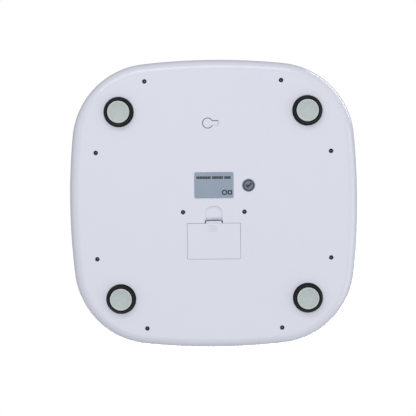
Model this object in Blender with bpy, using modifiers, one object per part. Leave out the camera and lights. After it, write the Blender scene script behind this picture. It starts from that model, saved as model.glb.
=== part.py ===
"""A digital bathroom scale: a rounded-square plastic case on four weighing feet.

Metres, +Z up. The origin is on the floor below the middle of the scale, the pads of the
feet stand at z = 0, and the display is at the +Y end of the platform.
"""

import math

import bmesh
import bpy
from mathutils import Matrix, Vector

# ---------------------------------------------------------------- driving dimensions
MM = 0.001
GAP = 0.3 * MM  # between pieces that touch

BODY_WIDTH = 300 * MM  # across the middle of opposite sides, both ways
SIDE_RADIUS = 690 * MM  # each side bows out on this arc
CORNER_RADIUS = 83 * MM
UNDERSIDE_Z = 5 * MM  # the flat underside, above the floor
PARTING_Z = 20 * MM  # where the bottom cover meets the platform
TOP_Z = 36 * MM
COVER_WALL = 2.2 * MM
PLATFORM_WALL = 2.4 * MM
COVER_EDGE = 12 * MM  # how far in the rounded lower edge reaches
PLATFORM_EDGE = 7.5 * MM  # the same for the upper edge, both ways

FOOT_X, FOOT_Y = 96.8 * MM, 96.7 * MM
FOOT_HOLE_RADIUS = 15.4 * MM
FOOT_RADIUS = 14.7 * MM
FOOT_FLANGE_RADIUS = 16.6 * MM
FOOT_STUD_RADIUS = 4.5 * MM  # the raised middle that presses on the load cell
FOOT_STUD_TOP_Z = 9.6 * MM
FLANGE_TOP_Z = 8.9 * MM
BEAD_Z = 2.2 * MM  # the middle of the rounded rim, and the face that the pad is stuck to
BEAD_HEIGHT = 1.7 * MM
PAD_RADIUS = 11.3 * MM
PAD_THICKNESS = 1.9 * MM
LOAD_CELL_SIZE = 34 * MM
LOAD_CELL_THICKNESS = 2.2 * MM
LOAD_CELL_Z = 10.5 * MM  # leaves the foot room to rise
BRACKET_SIZE = 42 * MM
BRACKET_TOP_Z = 18.2 * MM

SIDE_SCREWS = [(70 * MM, 127.7 * MM), (121 * MM, 55 * MM)]  # mirrored to all four quarters
CENTRE_SCREWS = [(31.7 * MM, -6.9 * MM), (-31.7 * MM, -6.9 * MM)]
SCREW_HEAD_RADIUS = 2.05 * MM
SCREW_HEAD_Z = 6.2 * MM
SCREW_SEAT_Z = 8 * MM
SCREW_SHANK_RADIUS = 1.3 * MM
SCREW_TIP_Z = 19.5 * MM
SLEEVE_RADIUS = 4 * MM
SLEEVE_TOP_Z = 10 * MM
SCREW_BOSS_RADIUS = 3.5 * MM
FOOT_BOSS_RADIUS = 19 * MM

DOOR_WIDTH, DOOR_DEPTH = 54.6 * MM, 36.8 * MM
DOOR_Y = -37.1 * MM
DOOR_THICKNESS = 1.8 * MM
DOOR_TAB_X = 17 * MM
POCKET_WIDTH, POCKET_DEPTH = 51.2 * MM, 35 * MM
POCKET_TOP_Z = 18.4 * MM
TUB_WALL = 1.6 * MM
CELL_LENGTH, CELL_RADIUS = 44.5 * MM, 5.25 * MM  # AAA
CELL_PITCH = 11.3 * MM
CELL_Z = 12.6 * MM
CONTACT_THICKNESS = 0.4 * MM
CONTACT_HEIGHT = 9 * MM

LATCH_WIDTH = 17.2 * MM
LATCH_FACE_Z = 6.1 * MM
LATCH_TOP_Z = 14 * MM
LATCH_FRONT_Y = -16.4 * MM
CHANNEL_WIDTH = 18.4 * MM  # the slot in the cover that the latch moves in
CHANNEL_FRONT_Y = -16 * MM
RECESS_HALF_WIDTH = 9 * MM
RECESS_ARCH_Y = -9 * MM
RECESS_ARCH_HEIGHT = 7.8 * MM
RECESS_WALL = 1.6 * MM

BUTTON_X, BUTTON_Y = 5.5 * MM, 84.6 * MM
BUTTON_RADIUS = 4.9 * MM
BUTTON_ARM_HALF_WIDTH = 2.1 * MM
BUTTON_ROOT_X = -5.2 * MM
BUTTON_SLOT = 0.65 * MM
BUTTON_THICKNESS = 1.6 * MM
BUTTON_POST_TOP_Z = 18.4 * MM

LABEL_X, LABEL_Y = -0.4 * MM, 20.7 * MM
LABEL_WIDTH, LABEL_DEPTH = 40 * MM, 26.4 * MM
STICKER_X, STICKER_Y = -36.1 * MM, 20.4 * MM
STICKER_RADIUS = 6.5 * MM
FILM_THICKNESS = 0.25 * MM
FILM_POCKET = 0.4 * MM

DISPLAY_Y = 90 * MM
WINDOW_WIDTH, WINDOW_DEPTH = 75.8 * MM, 33.8 * MM
WINDOW_THICKNESS = 1.3 * MM
APERTURE_WIDTH, APERTURE_DEPTH = 70 * MM, 28 * MM
FRAME_WIDTH, FRAME_DEPTH = 78 * MM, 36 * MM
FRAME_Z = 28.2 * MM
BOARD_WIDTH, BOARD_DEPTH, BOARD_THICKNESS = 94 * MM, 42 * MM, 1.6 * MM
BOARD_Z = 26.3 * MM
BOARD_SCREW_X = 43 * MM
BOARD_SCREW_HOLE = 1.3 * MM
LCD_WIDTH, LCD_DEPTH = 66.4 * MM, 27.4 * MM
LCD_Z, LCD_TOP_Z = 30.8 * MM, 33.2 * MM
CHIP_X, CHIP_Y = -15 * MM, 84 * MM
SWITCH_Z = 22.4 * MM

SENSOR_LEAD_RADIUS = 1.2 * MM
BATTERY_LEAD_RADIUS = 0.75 * MM

CEILING_Z = TOP_Z - PLATFORM_WALL
COVER_FLOOR_Z = UNDERSIDE_Z + COVER_WALL
CONTACT_X = POCKET_WIDTH / 2 - GAP - CONTACT_THICKNESS  # inner face of each contact
CORNERS = [(1, 1), (-1, 1), (1, -1), (-1, -1)]
ARC_STEPS = 10  # on each corner of the case
TURN_STEPS = 20  # around a turned piece


# ---------------------------------------------------------------- scene helpers
def clear_scene():
    for obj in list(bpy.data.objects):
        bpy.data.objects.remove(obj, do_unlink=True)


def new_collection(name):
    collection = bpy.data.collections.new(name)
    bpy.context.scene.collection.children.link(collection)
    return collection


def material(name, colour, roughness, metallic=0.0):
    made = bpy.data.materials.new(name)
    made.use_nodes = True
    shader = made.node_tree.nodes["Principled BSDF"]
    shader.inputs["Base Color"].default_value = (*colour, 1.0)
    shader.inputs["Roughness"].default_value = roughness
    shader.inputs["Metallic"].default_value = metallic
    return made


def mesh_of(bm, name):
    """The bmesh as mesh data, smooth except at sharp edges."""
    bmesh.ops.recalc_face_normals(bm, faces=bm.faces)
    mesh = bpy.data.meshes.new(name)
    bm.to_mesh(mesh)
    bm.free()
    mesh.shade_smooth()
    mesh.set_sharp_from_angle(angle=math.radians(35))
    return mesh


def add_part(name, data, surface, location=(0, 0, 0)):
    obj = bpy.data.objects.new(name, data)
    obj.location = location
    PARTS.objects.link(obj)
    if not data.materials:
        data.materials.append(surface)
    return obj


def add_cutter(name, bm):
    obj = bpy.data.objects.new(name, mesh_of(bm, name))
    obj.hide_render = True
    obj.display_type = "WIRE"
    CUTTERS.objects.link(obj)
    return obj


def combine(obj, bm, name, operation):
    """Adds a Boolean with the shapes in bm, which don't touch one another."""
    modifier = obj.modifiers.new(name, "BOOLEAN")
    modifier.operation = operation
    modifier.solver = "EXACT"
    modifier.object = add_cutter(name, bm)


def cut(obj, bm, name):
    combine(obj, bm, name, "DIFFERENCE")


def join(obj, bm, name):
    combine(obj, bm, name, "UNION")


def baked(obj):
    """The mesh of an object with its modifiers, for copies that share it. The object goes."""
    graph = bpy.context.evaluated_depsgraph_get()
    mesh = bpy.data.meshes.new_from_object(obj.evaluated_get(graph))
    bpy.data.objects.remove(obj)
    return mesh


# ---------------------------------------------------------------- shape helpers
def case_outline(inset):
    """The rounded square, drawn in by inset: four bowed sides and four tangent corners."""
    half = BODY_WIDTH / 2
    side_centre = half - SIDE_RADIUS
    reach = SIDE_RADIUS - CORNER_RADIUS
    corner = (math.sqrt(2 * reach**2 - side_centre**2) + side_centre) / 2
    side_angle = math.asin(corner / reach)
    side = SIDE_RADIUS - inset
    round_ = CORNER_RADIUS - inset
    quarter = [(half - inset, 0.0)]
    quarter.append(
        (side_centre + side * math.cos(side_angle / 2), side * math.sin(side_angle / 2))
    )
    for step in range(ARC_STEPS + 1):
        angle = side_angle + (math.pi / 2 - 2 * side_angle) * step / ARC_STEPS
        quarter.append((corner + round_ * math.cos(angle), corner + round_ * math.sin(angle)))
    quarter.append((quarter[1][1], quarter[1][0]))
    points = []
    for turn in range(4):
        cosine, sine = round(math.cos(turn * math.pi / 2)), round(math.sin(turn * math.pi / 2))
        points += [(x * cosine - y * sine, x * sine + y * cosine) for x, y in quarter]
    return points


def rounded_rectangle(width, depth, radius, centre=(0, 0), steps=3):
    points = []
    for quarter, (x_side, y_side) in enumerate([(1, 1), (-1, 1), (-1, -1), (1, -1)]):
        for step in range(steps + 1):
            angle = (quarter + step / steps) * math.pi / 2
            points.append(
                (
                    centre[0] + x_side * (width / 2 - radius) + radius * math.cos(angle),
                    centre[1] + y_side * (depth / 2 - radius) + radius * math.sin(angle),
                )
            )
    return points


def ring_edges(bm, points, height):
    """A closed loop of edges through the points, at z = height(x, y)."""
    verts = [bm.verts.new((x, y, height(x, y))) for x, y in points]
    return [bm.edges.new((verts[i - 1], verts[i])) for i in range(len(verts))]


def level(z):
    return lambda x, y: z


def loft(bm, rings, cap_first=True, cap_last=True):
    """Bridges (points, height) rings one after another, and closes the ends asked for."""
    loops = [ring_edges(bm, points, height) for points, height in rings]
    for first, second in zip(loops, loops[1:]):
        bmesh.ops.bridge_loops(bm, edges=first + second)
    for loop, capped in ((loops[0], cap_first), (loops[-1], cap_last)):
        if capped:
            bmesh.ops.contextual_create(bm, geom=loop)


def add_prism(bm, points, low, high):
    loft(bm, [(points, level(low)), (points, level(high))])


def add_box(bm, low, high):
    centre = (Vector(low) + Vector(high)) / 2
    size = Vector(high) - Vector(low)
    bmesh.ops.create_cube(bm, matrix=Matrix.Translation(centre) @ Matrix.Diagonal((*size, 1)))


def add_cylinder(bm, x, y, radius, low, high, steps=TURN_STEPS):
    bmesh.ops.create_cone(
        bm,
        cap_ends=True,
        segments=steps,
        radius1=radius,
        radius2=radius,
        depth=high - low,
        matrix=Matrix.Translation((x, y, (low + high) / 2)),
    )


def prism_part(name, points, low, high, surface):
    bm = bmesh.new()
    add_prism(bm, points, low, high)
    return add_part(name, mesh_of(bm, name), surface)


def box_part(name, low, high, surface):
    bm = bmesh.new()
    add_box(bm, low, high)
    return add_part(name, mesh_of(bm, name), surface)


def turned(name, profile, surface, location=(0, 0, 0), steps=TURN_STEPS):
    """A profile of (radius, z), from the top of the axis down its outer side, turned about Z."""
    mesh = bpy.data.meshes.new(name)
    edges = [(i, i + 1) for i in range(len(profile) - 1)]
    mesh.from_pydata([(r, 0, z) for r, z in profile], edges, [])
    obj = add_part(name, mesh, surface, location)
    screw = obj.modifiers.new("turn", "SCREW")
    screw.steps = steps
    screw.render_steps = steps
    screw.use_merge_vertices = True
    screw.merge_threshold = 0.00001
    screw.use_smooth_shade = True
    return obj


def shell(name, profile, thickness, surface):
    """An open surface on the case outline, from its closed flat end to its rim, made a wall."""
    bm = bmesh.new()
    rings = [(case_outline(inset), level(z)) for inset, z in profile]
    loft(bm, rings, cap_last=False)
    obj = add_part(name, mesh_of(bm, name), surface)
    wall = obj.modifiers.new("wall", "SOLIDIFY")
    wall.thickness = thickness
    wall.offset = -1
    wall.use_even_offset = True
    return obj


def rounded_edge(inset, flat_z, rim_z, steps):
    """A quarter ellipse of (inset, z) from the flat face out to the full width."""
    angles = [math.pi / 2 * step / steps for step in range(steps + 1)]
    return [(inset * (1 - math.sin(a)), rim_z + (flat_z - rim_z) * math.cos(a)) for a in angles]


def smooth_route(route, spacing):
    """Points about one spacing apart on a Catmull-Rom curve through the route."""
    knots = [Vector(p) for p in route]
    ends = [2 * knots[0] - knots[1], *knots, 2 * knots[-1] - knots[-2]]
    points = [knots[0]]
    for a, b, c, d in zip(ends, ends[1:], ends[2:], ends[3:]):
        count = max(2, round((c - b).length / spacing))
        for step in range(1, count + 1):
            t = step / count
            points.append(
                0.5 * (2 * b + (c - a) * t + (2 * a - 5 * b + 4 * c - d) * t**2
                       + (3 * b - a - 3 * c + d) * t**3)
            )
    return points


def tube(name, points, radius, surface, bevel_resolution=2):
    data = bpy.data.curves.new(name, "CURVE")
    data.dimensions = "3D"
    data.bevel_depth = radius
    data.bevel_resolution = bevel_resolution
    data.use_fill_caps = True
    spline = data.splines.new("POLY")
    spline.points.add(len(points) - 1)
    for target, point in zip(spline.points, points):
        target.co = (*point, 1)
    return add_part(name, data, surface)


# ---------------------------------------------------------------- shared outlines
def quadrant_places(places):
    return [(x * sx, y * sy) for x, y in places for sx, sy in CORNERS]


def screw_places():
    return quadrant_places(SIDE_SCREWS) + CENTRE_SCREWS


def foot_places():
    return [(FOOT_X * sx, FOOT_Y * sy) for sx, sy in CORNERS]


def recess_outline(margin=0.0):
    """The finger recess in front of the latch: straight sides under a rounded arch."""
    half = RECESS_HALF_WIDTH + margin
    rise = RECESS_ARCH_HEIGHT + margin
    points = [(half, CHANNEL_FRONT_Y - margin)]
    for step in range(13):
        angle = math.pi * step / 12
        bulge = 0.85  # fuller than an ellipse
        x = math.copysign(abs(math.cos(angle)) ** bulge, math.cos(angle))
        points.append((half * x, RECESS_ARCH_Y + rise * math.sin(angle) ** bulge))
    points.append((-half, CHANNEL_FRONT_Y - margin))
    return points


def recess_floor(x, y):
    """Height of the recess's sloping floor: deepest beside the latch."""
    top_y = RECESS_ARCH_Y + RECESS_ARCH_HEIGHT
    share = (top_y - y) / (top_y - CHANNEL_FRONT_Y)
    return UNDERSIDE_Z + 2.6 * MM + 3.6 * MM * share


def recess_roof(x, y):
    return recess_floor(x, y) + RECESS_WALL


def button_outline(margin=0.0):
    """A disc with an arm that runs towards -X."""
    radius = BUTTON_RADIUS + margin
    half = BUTTON_ARM_HALF_WIDTH + margin
    start = math.asin(half / radius)
    end_x = BUTTON_ROOT_X - (GAP if margin else 0)
    points = [(end_x, BUTTON_Y - half)]
    for step in range(17):
        angle = math.pi + start + (2 * math.pi - 2 * start) * step / 16
        points.append(
            (BUTTON_X + radius * math.cos(angle), BUTTON_Y + radius * math.sin(angle))
        )
    points.append((end_x, BUTTON_Y + half))
    return points


# ---------------------------------------------------------------- case
def make_bottom_cover():
    edge = rounded_edge(COVER_EDGE, UNDERSIDE_Z, PARTING_Z - 1.5 * MM, 6)
    profile = [*edge, (0, PARTING_Z - GAP / 2)]
    cover = shell("bottom_cover", profile, COVER_WALL, WHITE)
    add_cover_insides(cover)
    cut_cover(cover)


def add_cover_insides(cover):
    bm = bmesh.new()
    root = COVER_WALL * 0.6  # inside the cover's wall
    outer, inner = COVER_WALL + 0.5 * MM, COVER_WALL + 1.8 * MM
    low, step, high = PARTING_Z - 3 * MM, PARTING_Z - 1 * MM, PARTING_Z + 2.2 * MM
    section = [(root, low), (root, step), (outer, step), (outer, high), (inner, high), (inner, low)]
    loops = [ring_edges(bm, case_outline(inset), level(z)) for inset, z in section]
    for first, second in zip(loops, loops[1:] + loops[:1]):
        bmesh.ops.bridge_loops(bm, edges=first + second)
    join(cover, bm, "cover_lip")

    bm = bmesh.new()
    for x, y in screw_places():
        add_cylinder(bm, x, y, SLEEVE_RADIUS, UNDERSIDE_Z + 1 * MM, SLEEVE_TOP_Z, steps=16)
    tub_x = POCKET_WIDTH / 2 + TUB_WALL
    tub_y = POCKET_DEPTH / 2 + TUB_WALL
    add_box(
        bm,
        (-tub_x, DOOR_Y - tub_y, UNDERSIDE_Z + 1 * MM),
        (tub_x, DOOR_Y + tub_y, POCKET_TOP_Z + TUB_WALL),
    )
    join(cover, bm, "cover_sleeves_and_tub")

    bm = bmesh.new()
    outline = recess_outline(RECESS_WALL)
    loft(bm, [(outline, level(UNDERSIDE_Z + 1 * MM)), (outline, recess_roof)])
    join(cover, bm, "recess_block")


def cut_cover(cover):
    below = UNDERSIDE_Z - 2 * MM
    bm = bmesh.new()
    for x, y in foot_places():
        add_cylinder(bm, x, y, FOOT_HOLE_RADIUS, below, SLEEVE_TOP_Z, steps=28)
    for x, y in screw_places():
        add_cylinder(bm, x, y, SCREW_HEAD_RADIUS + GAP, below, SCREW_SEAT_Z, steps=16)
    both_gaps = 2 * GAP
    opening = rounded_rectangle(
        DOOR_WIDTH + both_gaps, DOOR_DEPTH + both_gaps, 0.8 * MM, (0, DOOR_Y), steps=2
    )
    add_prism(bm, opening, below, UNDERSIDE_Z + DOOR_THICKNESS + GAP)
    loft(bm, [(recess_outline(), level(below)), (recess_outline(), recess_floor)])
    add_prism(bm, button_outline(BUTTON_SLOT), below, SLEEVE_TOP_Z)
    pocket_z = UNDERSIDE_Z + FILM_POCKET
    label = rounded_rectangle(
        LABEL_WIDTH + both_gaps, LABEL_DEPTH + both_gaps, 1.8 * MM, (LABEL_X, LABEL_Y)
    )
    add_prism(bm, label, below, pocket_z)
    add_cylinder(bm, STICKER_X, STICKER_Y, STICKER_RADIUS + GAP, below, pocket_z, steps=24)
    cut(cover, bm, "openings_from_below")

    bm = bmesh.new()
    for x, y in screw_places():
        add_cylinder(bm, x, y, 1.7 * MM, below, SLEEVE_TOP_Z + 1 * MM, steps=12)
    half_x, half_y = POCKET_WIDTH / 2, POCKET_DEPTH / 2
    add_box(bm, (-half_x, DOOR_Y - half_y, below), (half_x, DOOR_Y + half_y, POCKET_TOP_Z))
    cut(cover, bm, "screw_holes_and_battery_pocket")

    bm = bmesh.new()
    half_channel = CHANNEL_WIDTH / 2
    add_box(
        bm,
        (-half_channel, DOOR_Y + half_y - 1 * MM, below),
        (half_channel, CHANNEL_FRONT_Y, LATCH_TOP_Z + 1 * MM),
    )
    cut(cover, bm, "latch_channel")


def make_top_platform():
    edge = rounded_edge(PLATFORM_EDGE, TOP_Z, TOP_Z - PLATFORM_EDGE, 4)
    profile = [*edge, (0, PARTING_Z + GAP / 2)]
    platform = shell("top_platform", profile, PLATFORM_WALL, WHITE)
    root = CEILING_Z + 1 * MM

    bm = bmesh.new()
    for x, y in screw_places():
        add_cylinder(bm, x, y, SCREW_BOSS_RADIUS, SLEEVE_TOP_Z + GAP, root, steps=16)
    for x, y in foot_places():
        add_cylinder(bm, x, y, FOOT_BOSS_RADIUS, BRACKET_TOP_Z + GAP, root, steps=24)
    for side in (1, -1):
        add_cylinder(
            bm, side * BOARD_SCREW_X, DISPLAY_Y, 3 * MM, FRAME_Z + 2 * MM + GAP, root, steps=16
        )
    join(platform, bm, "bosses")

    bm = bmesh.new()
    for x in (45 * MM, -45 * MM):
        add_box(bm, (x - 0.8 * MM, -140 * MM, 27 * MM), (x + 0.8 * MM, 60 * MM, root))
    join(platform, bm, "long_ribs")

    bm = bmesh.new()
    for y in (-70 * MM, -20 * MM, 30 * MM):
        add_box(bm, (-142 * MM, y - 0.8 * MM, 27 * MM), (142 * MM, y + 0.8 * MM, root))
    join(platform, bm, "cross_ribs")

    bm = bmesh.new()
    for x, y in screw_places():
        add_cylinder(bm, x, y, 1.6 * MM, SLEEVE_TOP_Z, 22 * MM, steps=12)
    for x, y in foot_places():
        add_cylinder(bm, x, y, 16.8 * MM, SLEEVE_TOP_Z, CEILING_Z, steps=24)
    for side in (1, -1):
        add_cylinder(bm, side * BOARD_SCREW_X, DISPLAY_Y, BOARD_SCREW_HOLE, FRAME_Z, 33 * MM, steps=12)
    seat = rounded_rectangle(
        WINDOW_WIDTH + 2 * GAP, WINDOW_DEPTH + 2 * GAP, 4.3 * MM, (0, DISPLAY_Y)
    )
    add_prism(bm, seat, TOP_Z - WINDOW_THICKNESS - 2 * GAP, TOP_Z + 1 * MM)
    cut(platform, bm, "pilot_holes_and_window_seat")

    bm = bmesh.new()
    aperture = rounded_rectangle(APERTURE_WIDTH, APERTURE_DEPTH, 2 * MM, (0, DISPLAY_Y))
    add_prism(bm, aperture, CEILING_Z - 2 * MM, TOP_Z + 1 * MM)
    cut(platform, bm, "window_aperture")


def make_screws():
    """Pan-head screws, driven up through the cover into the platform's bosses."""
    head, shank, tip_z = SCREW_HEAD_RADIUS, SCREW_SHANK_RADIUS, SCREW_TIP_Z
    head_top = SCREW_SEAT_Z - GAP
    profile = [
        (0, tip_z),
        (0.5 * MM, tip_z - 0.3 * MM),
        (shank, tip_z - 2 * MM),
        (shank, head_top),
        (head, head_top),
        (head, SCREW_HEAD_Z + 0.5 * MM),
        (head * 0.7, SCREW_HEAD_Z),
        (0, SCREW_HEAD_Z),
    ]
    screw = turned("screw", profile, ZINC, steps=14)
    bm = bmesh.new()
    add_cross(bm, 1.25 * MM, SCREW_HEAD_Z - 1 * MM, SCREW_HEAD_Z + 0.9 * MM)
    cut(screw, bm, "screw_drive")
    mesh = baked(screw)
    for number, place in enumerate(quadrant_places(SIDE_SCREWS), start=1):
        add_part(f"case_screw_{number}", mesh, ZINC, (*place, 0))
    for number, place in enumerate(CENTRE_SCREWS, start=1):
        add_part(f"centre_screw_{number}", mesh, ZINC, (*place, 0))


def add_cross(bm, reach, low, high):
    """The four-armed drive of a screw, as one outline."""
    half = 0.3 * MM
    corner = [(half, half), (half, reach), (-half, reach)]
    points = []
    for turn in range(4):
        cosine, sine = round(math.cos(turn * math.pi / 2)), round(math.sin(turn * math.pi / 2))
        points += [(x * cosine - y * sine, x * sine + y * cosine) for x, y in corner]
    add_prism(bm, points, low, high)


# ---------------------------------------------------------------- weighing feet
def make_feet():
    bead = []
    bead_middle = (FOOT_RADIUS + PAD_RADIUS + GAP) / 2
    bead_half = (FOOT_RADIUS - PAD_RADIUS - GAP) / 2
    for step in range(7):
        angle = math.pi * step / 6
        radius = bead_middle + bead_half * math.cos(angle)
        bead.append((radius, BEAD_Z - BEAD_HEIGHT * math.sin(angle)))
    profile = [
        (0, FOOT_STUD_TOP_Z),
        (FOOT_STUD_RADIUS, FOOT_STUD_TOP_Z),
        (FOOT_STUD_RADIUS, FLANGE_TOP_Z),
        (FOOT_FLANGE_RADIUS, FLANGE_TOP_Z),
        (FOOT_FLANGE_RADIUS, COVER_FLOOR_Z + GAP),
        (FOOT_RADIUS, COVER_FLOOR_Z + GAP),
        *bead,
        (0, BEAD_Z),
    ]
    cup = baked(turned("cup", profile, RUBBER))
    pad_profile = [
        (0, PAD_THICKNESS),
        (PAD_RADIUS, PAD_THICKNESS),
        (PAD_RADIUS, 0.4 * MM),
        (PAD_RADIUS - 0.5 * MM, 0),
        (0, 0),
    ]
    pad = baked(turned("pad", pad_profile, SILICONE))
    for number, place in enumerate(foot_places(), start=1):
        add_part(f"foot_cup_{number}", cup, RUBBER, (*place, 0))
        add_part(f"foot_pad_{number}", pad, SILICONE, (*place, 0))


def make_load_cells():
    thickness = LOAD_CELL_THICKNESS
    half = LOAD_CELL_SIZE / 2
    plate = prism_part(
        "cell_plate",
        rounded_rectangle(LOAD_CELL_SIZE, LOAD_CELL_SIZE, 4 * MM),
        LOAD_CELL_Z,
        LOAD_CELL_Z + thickness,
        STEEL,
    )
    bm = bmesh.new()
    outer, inner, root = 9.5 * MM, 7 * MM, -11 * MM
    slot = [
        (outer, root),
        (outer, outer),
        (-outer, outer),
        (-outer, root),
        (-inner, root),
        (-inner, inner),
        (inner, inner),
        (inner, root),
    ]
    add_prism(bm, slot, LOAD_CELL_Z - 1 * MM, LOAD_CELL_Z + 2 * thickness)
    cut(plate, bm, "tongue_slot")
    cell = baked(plate)

    size = BRACKET_SIZE
    frame = prism_part(
        "bracket_block",
        rounded_rectangle(size, size, 6 * MM),
        LOAD_CELL_Z - GAP,
        BRACKET_TOP_Z,
        GREY_ABS,
    )
    bm = bmesh.new()
    pocket = rounded_rectangle(LOAD_CELL_SIZE + 2 * GAP, LOAD_CELL_SIZE + 2 * GAP, 4.2 * MM)
    add_prism(bm, pocket, 0, LOAD_CELL_Z + thickness + GAP)
    cut(frame, bm, "cell_pocket")
    bm = bmesh.new()
    add_prism(bm, rounded_rectangle(21 * MM, 21 * MM, 2 * MM), 0, 2 * BRACKET_TOP_Z)
    cut(frame, bm, "tongue_room")
    bm = bmesh.new()
    lead_exit = half + 6 * MM
    add_box(bm, (-lead_exit, -2 * MM, 0), (-half + 2 * MM, 2 * MM, LOAD_CELL_Z + thickness + GAP))
    cut(frame, bm, "lead_exit")
    bracket = baked(frame)

    for number, (x, y) in enumerate(foot_places(), start=1):
        turn = 0 if x > 0 else math.pi
        for name, mesh, surface in (
            ("load_cell", cell, STEEL),
            ("load_cell_bracket", bracket, GREY_ABS),
        ):
            part = add_part(f"{name}_{number}", mesh, surface, (x, y, 0))
            part.rotation_euler.z = turn


# ---------------------------------------------------------------- battery compartment
def make_battery_door():
    """The door turns about its lower edge, where two tabs reach behind the cover."""
    edge = DOOR_Y - DOOR_DEPTH / 2
    hinge = Vector((0, edge + 0.1 * MM, UNDERSIDE_Z + 0.1 * MM))
    top = UNDERSIDE_Z + DOOR_THICKNESS
    outline = rounded_rectangle(DOOR_WIDTH, DOOR_DEPTH, 0.6 * MM, (0, DOOR_Y), steps=2)
    door = prism_part("battery_door", outline, UNDERSIDE_Z, top, WHITE)
    bm = bmesh.new()
    for side in (1, -1):
        low_x, high_x = side * DOOR_TAB_X - 3 * MM, side * DOOR_TAB_X + 3 * MM
        tab = [
            (edge + 0.2 * MM, top - 0.6 * MM),
            (edge + 1.4 * MM, top - 0.6 * MM),
            (edge + 1.4 * MM, top + 1.7 * MM),
            (edge - 1.5 * MM, top + 1.7 * MM),
            (edge - 1.5 * MM, top + 0.7 * MM),
            (edge + 0.2 * MM, top + 0.7 * MM),
        ]
        add_side_prism(bm, tab, low_x, high_x)
    join(door, bm, "door_tabs")
    bm = bmesh.new()
    half = CHANNEL_WIDTH / 2
    add_box(
        bm,
        (-half, DOOR_Y + DOOR_DEPTH / 2 - 4 * MM, LATCH_FACE_Z - GAP),
        (half, DOOR_Y + DOOR_DEPTH / 2 + 1 * MM, top + 1 * MM),
    )
    cut(door, bm, "latch_room")
    door.data.transform(Matrix.Translation(-hinge))
    door.location = hinge
    for modifier in door.modifiers:
        shape = modifier.object
        shape.data.transform(Matrix.Translation(-hinge))
        shape.location = hinge


def add_side_prism(bm, profile, low_x, high_x):
    """A closed (y, z) profile drawn out along X."""
    ends = []
    for x in (low_x, high_x):
        verts = [bm.verts.new((x, y, z)) for y, z in profile]
        ends.append([bm.edges.new((verts[i - 1], verts[i])) for i in range(len(verts))])
    bmesh.ops.bridge_loops(bm, edges=ends[0] + ends[1])
    for loop in ends:
        bmesh.ops.contextual_create(bm, geom=loop)


def cut_door_tab_slots():
    cover = PARTS.objects["bottom_cover"]
    edge = DOOR_Y - DOOR_DEPTH / 2
    bm = bmesh.new()
    for side in (1, -1):
        x = side * DOOR_TAB_X
        add_box(
            bm,
            (x - 3.4 * MM, edge - 2 * MM, COVER_FLOOR_Z - 0.2 * MM),
            (x + 3.4 * MM, edge + 3 * MM, COVER_FLOOR_Z + 2.2 * MM),
        )
        add_cylinder_x(bm, side, BATTERY_LEAD_RADIUS + GAP)
    cut(cover, bm, "tab_slots_and_lead_holes")


def add_cylinder_x(bm, side, radius):
    """The hole in the tub's end wall that a battery lead comes out of."""
    turn = Matrix.Rotation(math.pi / 2, 4, "Y")
    place = Matrix.Translation((side * POCKET_WIDTH / 2, DOOR_Y + side * CELL_PITCH, CELL_Z))
    bmesh.ops.create_cone(
        bm,
        cap_ends=True,
        segments=12,
        radius1=radius,
        radius2=radius,
        depth=6 * MM,
        matrix=place @ turn,
    )


def make_door_latch():
    """The sprung tongue that slides under the door's edge; its hook holds behind the cover."""
    half = LATCH_WIDTH / 2
    front = LATCH_FRONT_Y
    thickness = 1.2 * MM
    hook_z = LATCH_TOP_Z - 0.9 * MM
    bm = bmesh.new()
    profile = [
        (front, LATCH_FACE_Z),
        (front, LATCH_TOP_Z),
        (front - thickness, LATCH_TOP_Z),
        (front - thickness, LATCH_FACE_Z + thickness),
        (front - 4.6 * MM, LATCH_FACE_Z + thickness),
        (front - 4.6 * MM, LATCH_FACE_Z),
    ]
    add_side_prism(bm, profile, -half, half)
    latch = add_part("door_latch", mesh_of(bm, "door_latch"), WHITE)
    bm = bmesh.new()
    hook = [
        (front - 0.6 * MM, hook_z),
        (front - 0.6 * MM, LATCH_TOP_Z - 0.1 * MM),
        (front + 1.4 * MM, hook_z + 0.5 * MM),
        (front + 1.4 * MM, hook_z),
    ]
    add_side_prism(bm, hook, -5 * MM, 5 * MM)
    join(latch, bm, "latch_hook")


def make_batteries():
    """Three AAA cells in series, side by side, each turned the other way from its neighbour."""
    end = CONTACT_X - GAP
    shoulder = CELL_LENGTH - 1 * MM
    profile = [
        (0, CELL_LENGTH),
        (1.8 * MM, CELL_LENGTH),
        (1.9 * MM, shoulder),
        (CELL_RADIUS - 0.6 * MM, shoulder),
        (CELL_RADIUS, shoulder - 0.6 * MM),
        (CELL_RADIUS, 0.4 * MM),
        (CELL_RADIUS - 0.6 * MM, 0),
        (0, 0),
    ]
    mesh = baked(turned("cell", profile, CELL_SKIN))
    for number in (1, 2, 3):
        y = DOOR_Y + (number - 2) * CELL_PITCH
        way = -1 if number == 2 else 1
        start = -way * (CELL_LENGTH - end)
        cell = add_part(f"battery_{number}", mesh, CELL_SKIN, (start, y, CELL_Z))
        cell.rotation_euler.y = way * math.pi / 2
        make_spring(number, -way * CONTACT_X, start, y)


def make_spring(number, plate_x, cell_x, y):
    """A conical coil between the contact and the flat end of a cell."""
    wire = 0.3 * MM
    away = math.copysign(1, cell_x - plate_x)
    start_x = plate_x + away * (wire + GAP)
    end_x = cell_x - away * (wire + GAP)
    turns, steps = 3, 10
    points = []
    for step in range(turns * steps + 1):
        share = step / (turns * steps)
        radius = (3.6 - 1.5 * share) * MM
        angle = 2 * math.pi * turns * share
        points.append(
            (
                start_x + (end_x - start_x) * share,
                y + radius * math.cos(angle),
                CELL_Z + radius * math.sin(angle),
            )
        )
    tube(f"contact_spring_{number}", points, wire, NICKEL, bevel_resolution=1)


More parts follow.
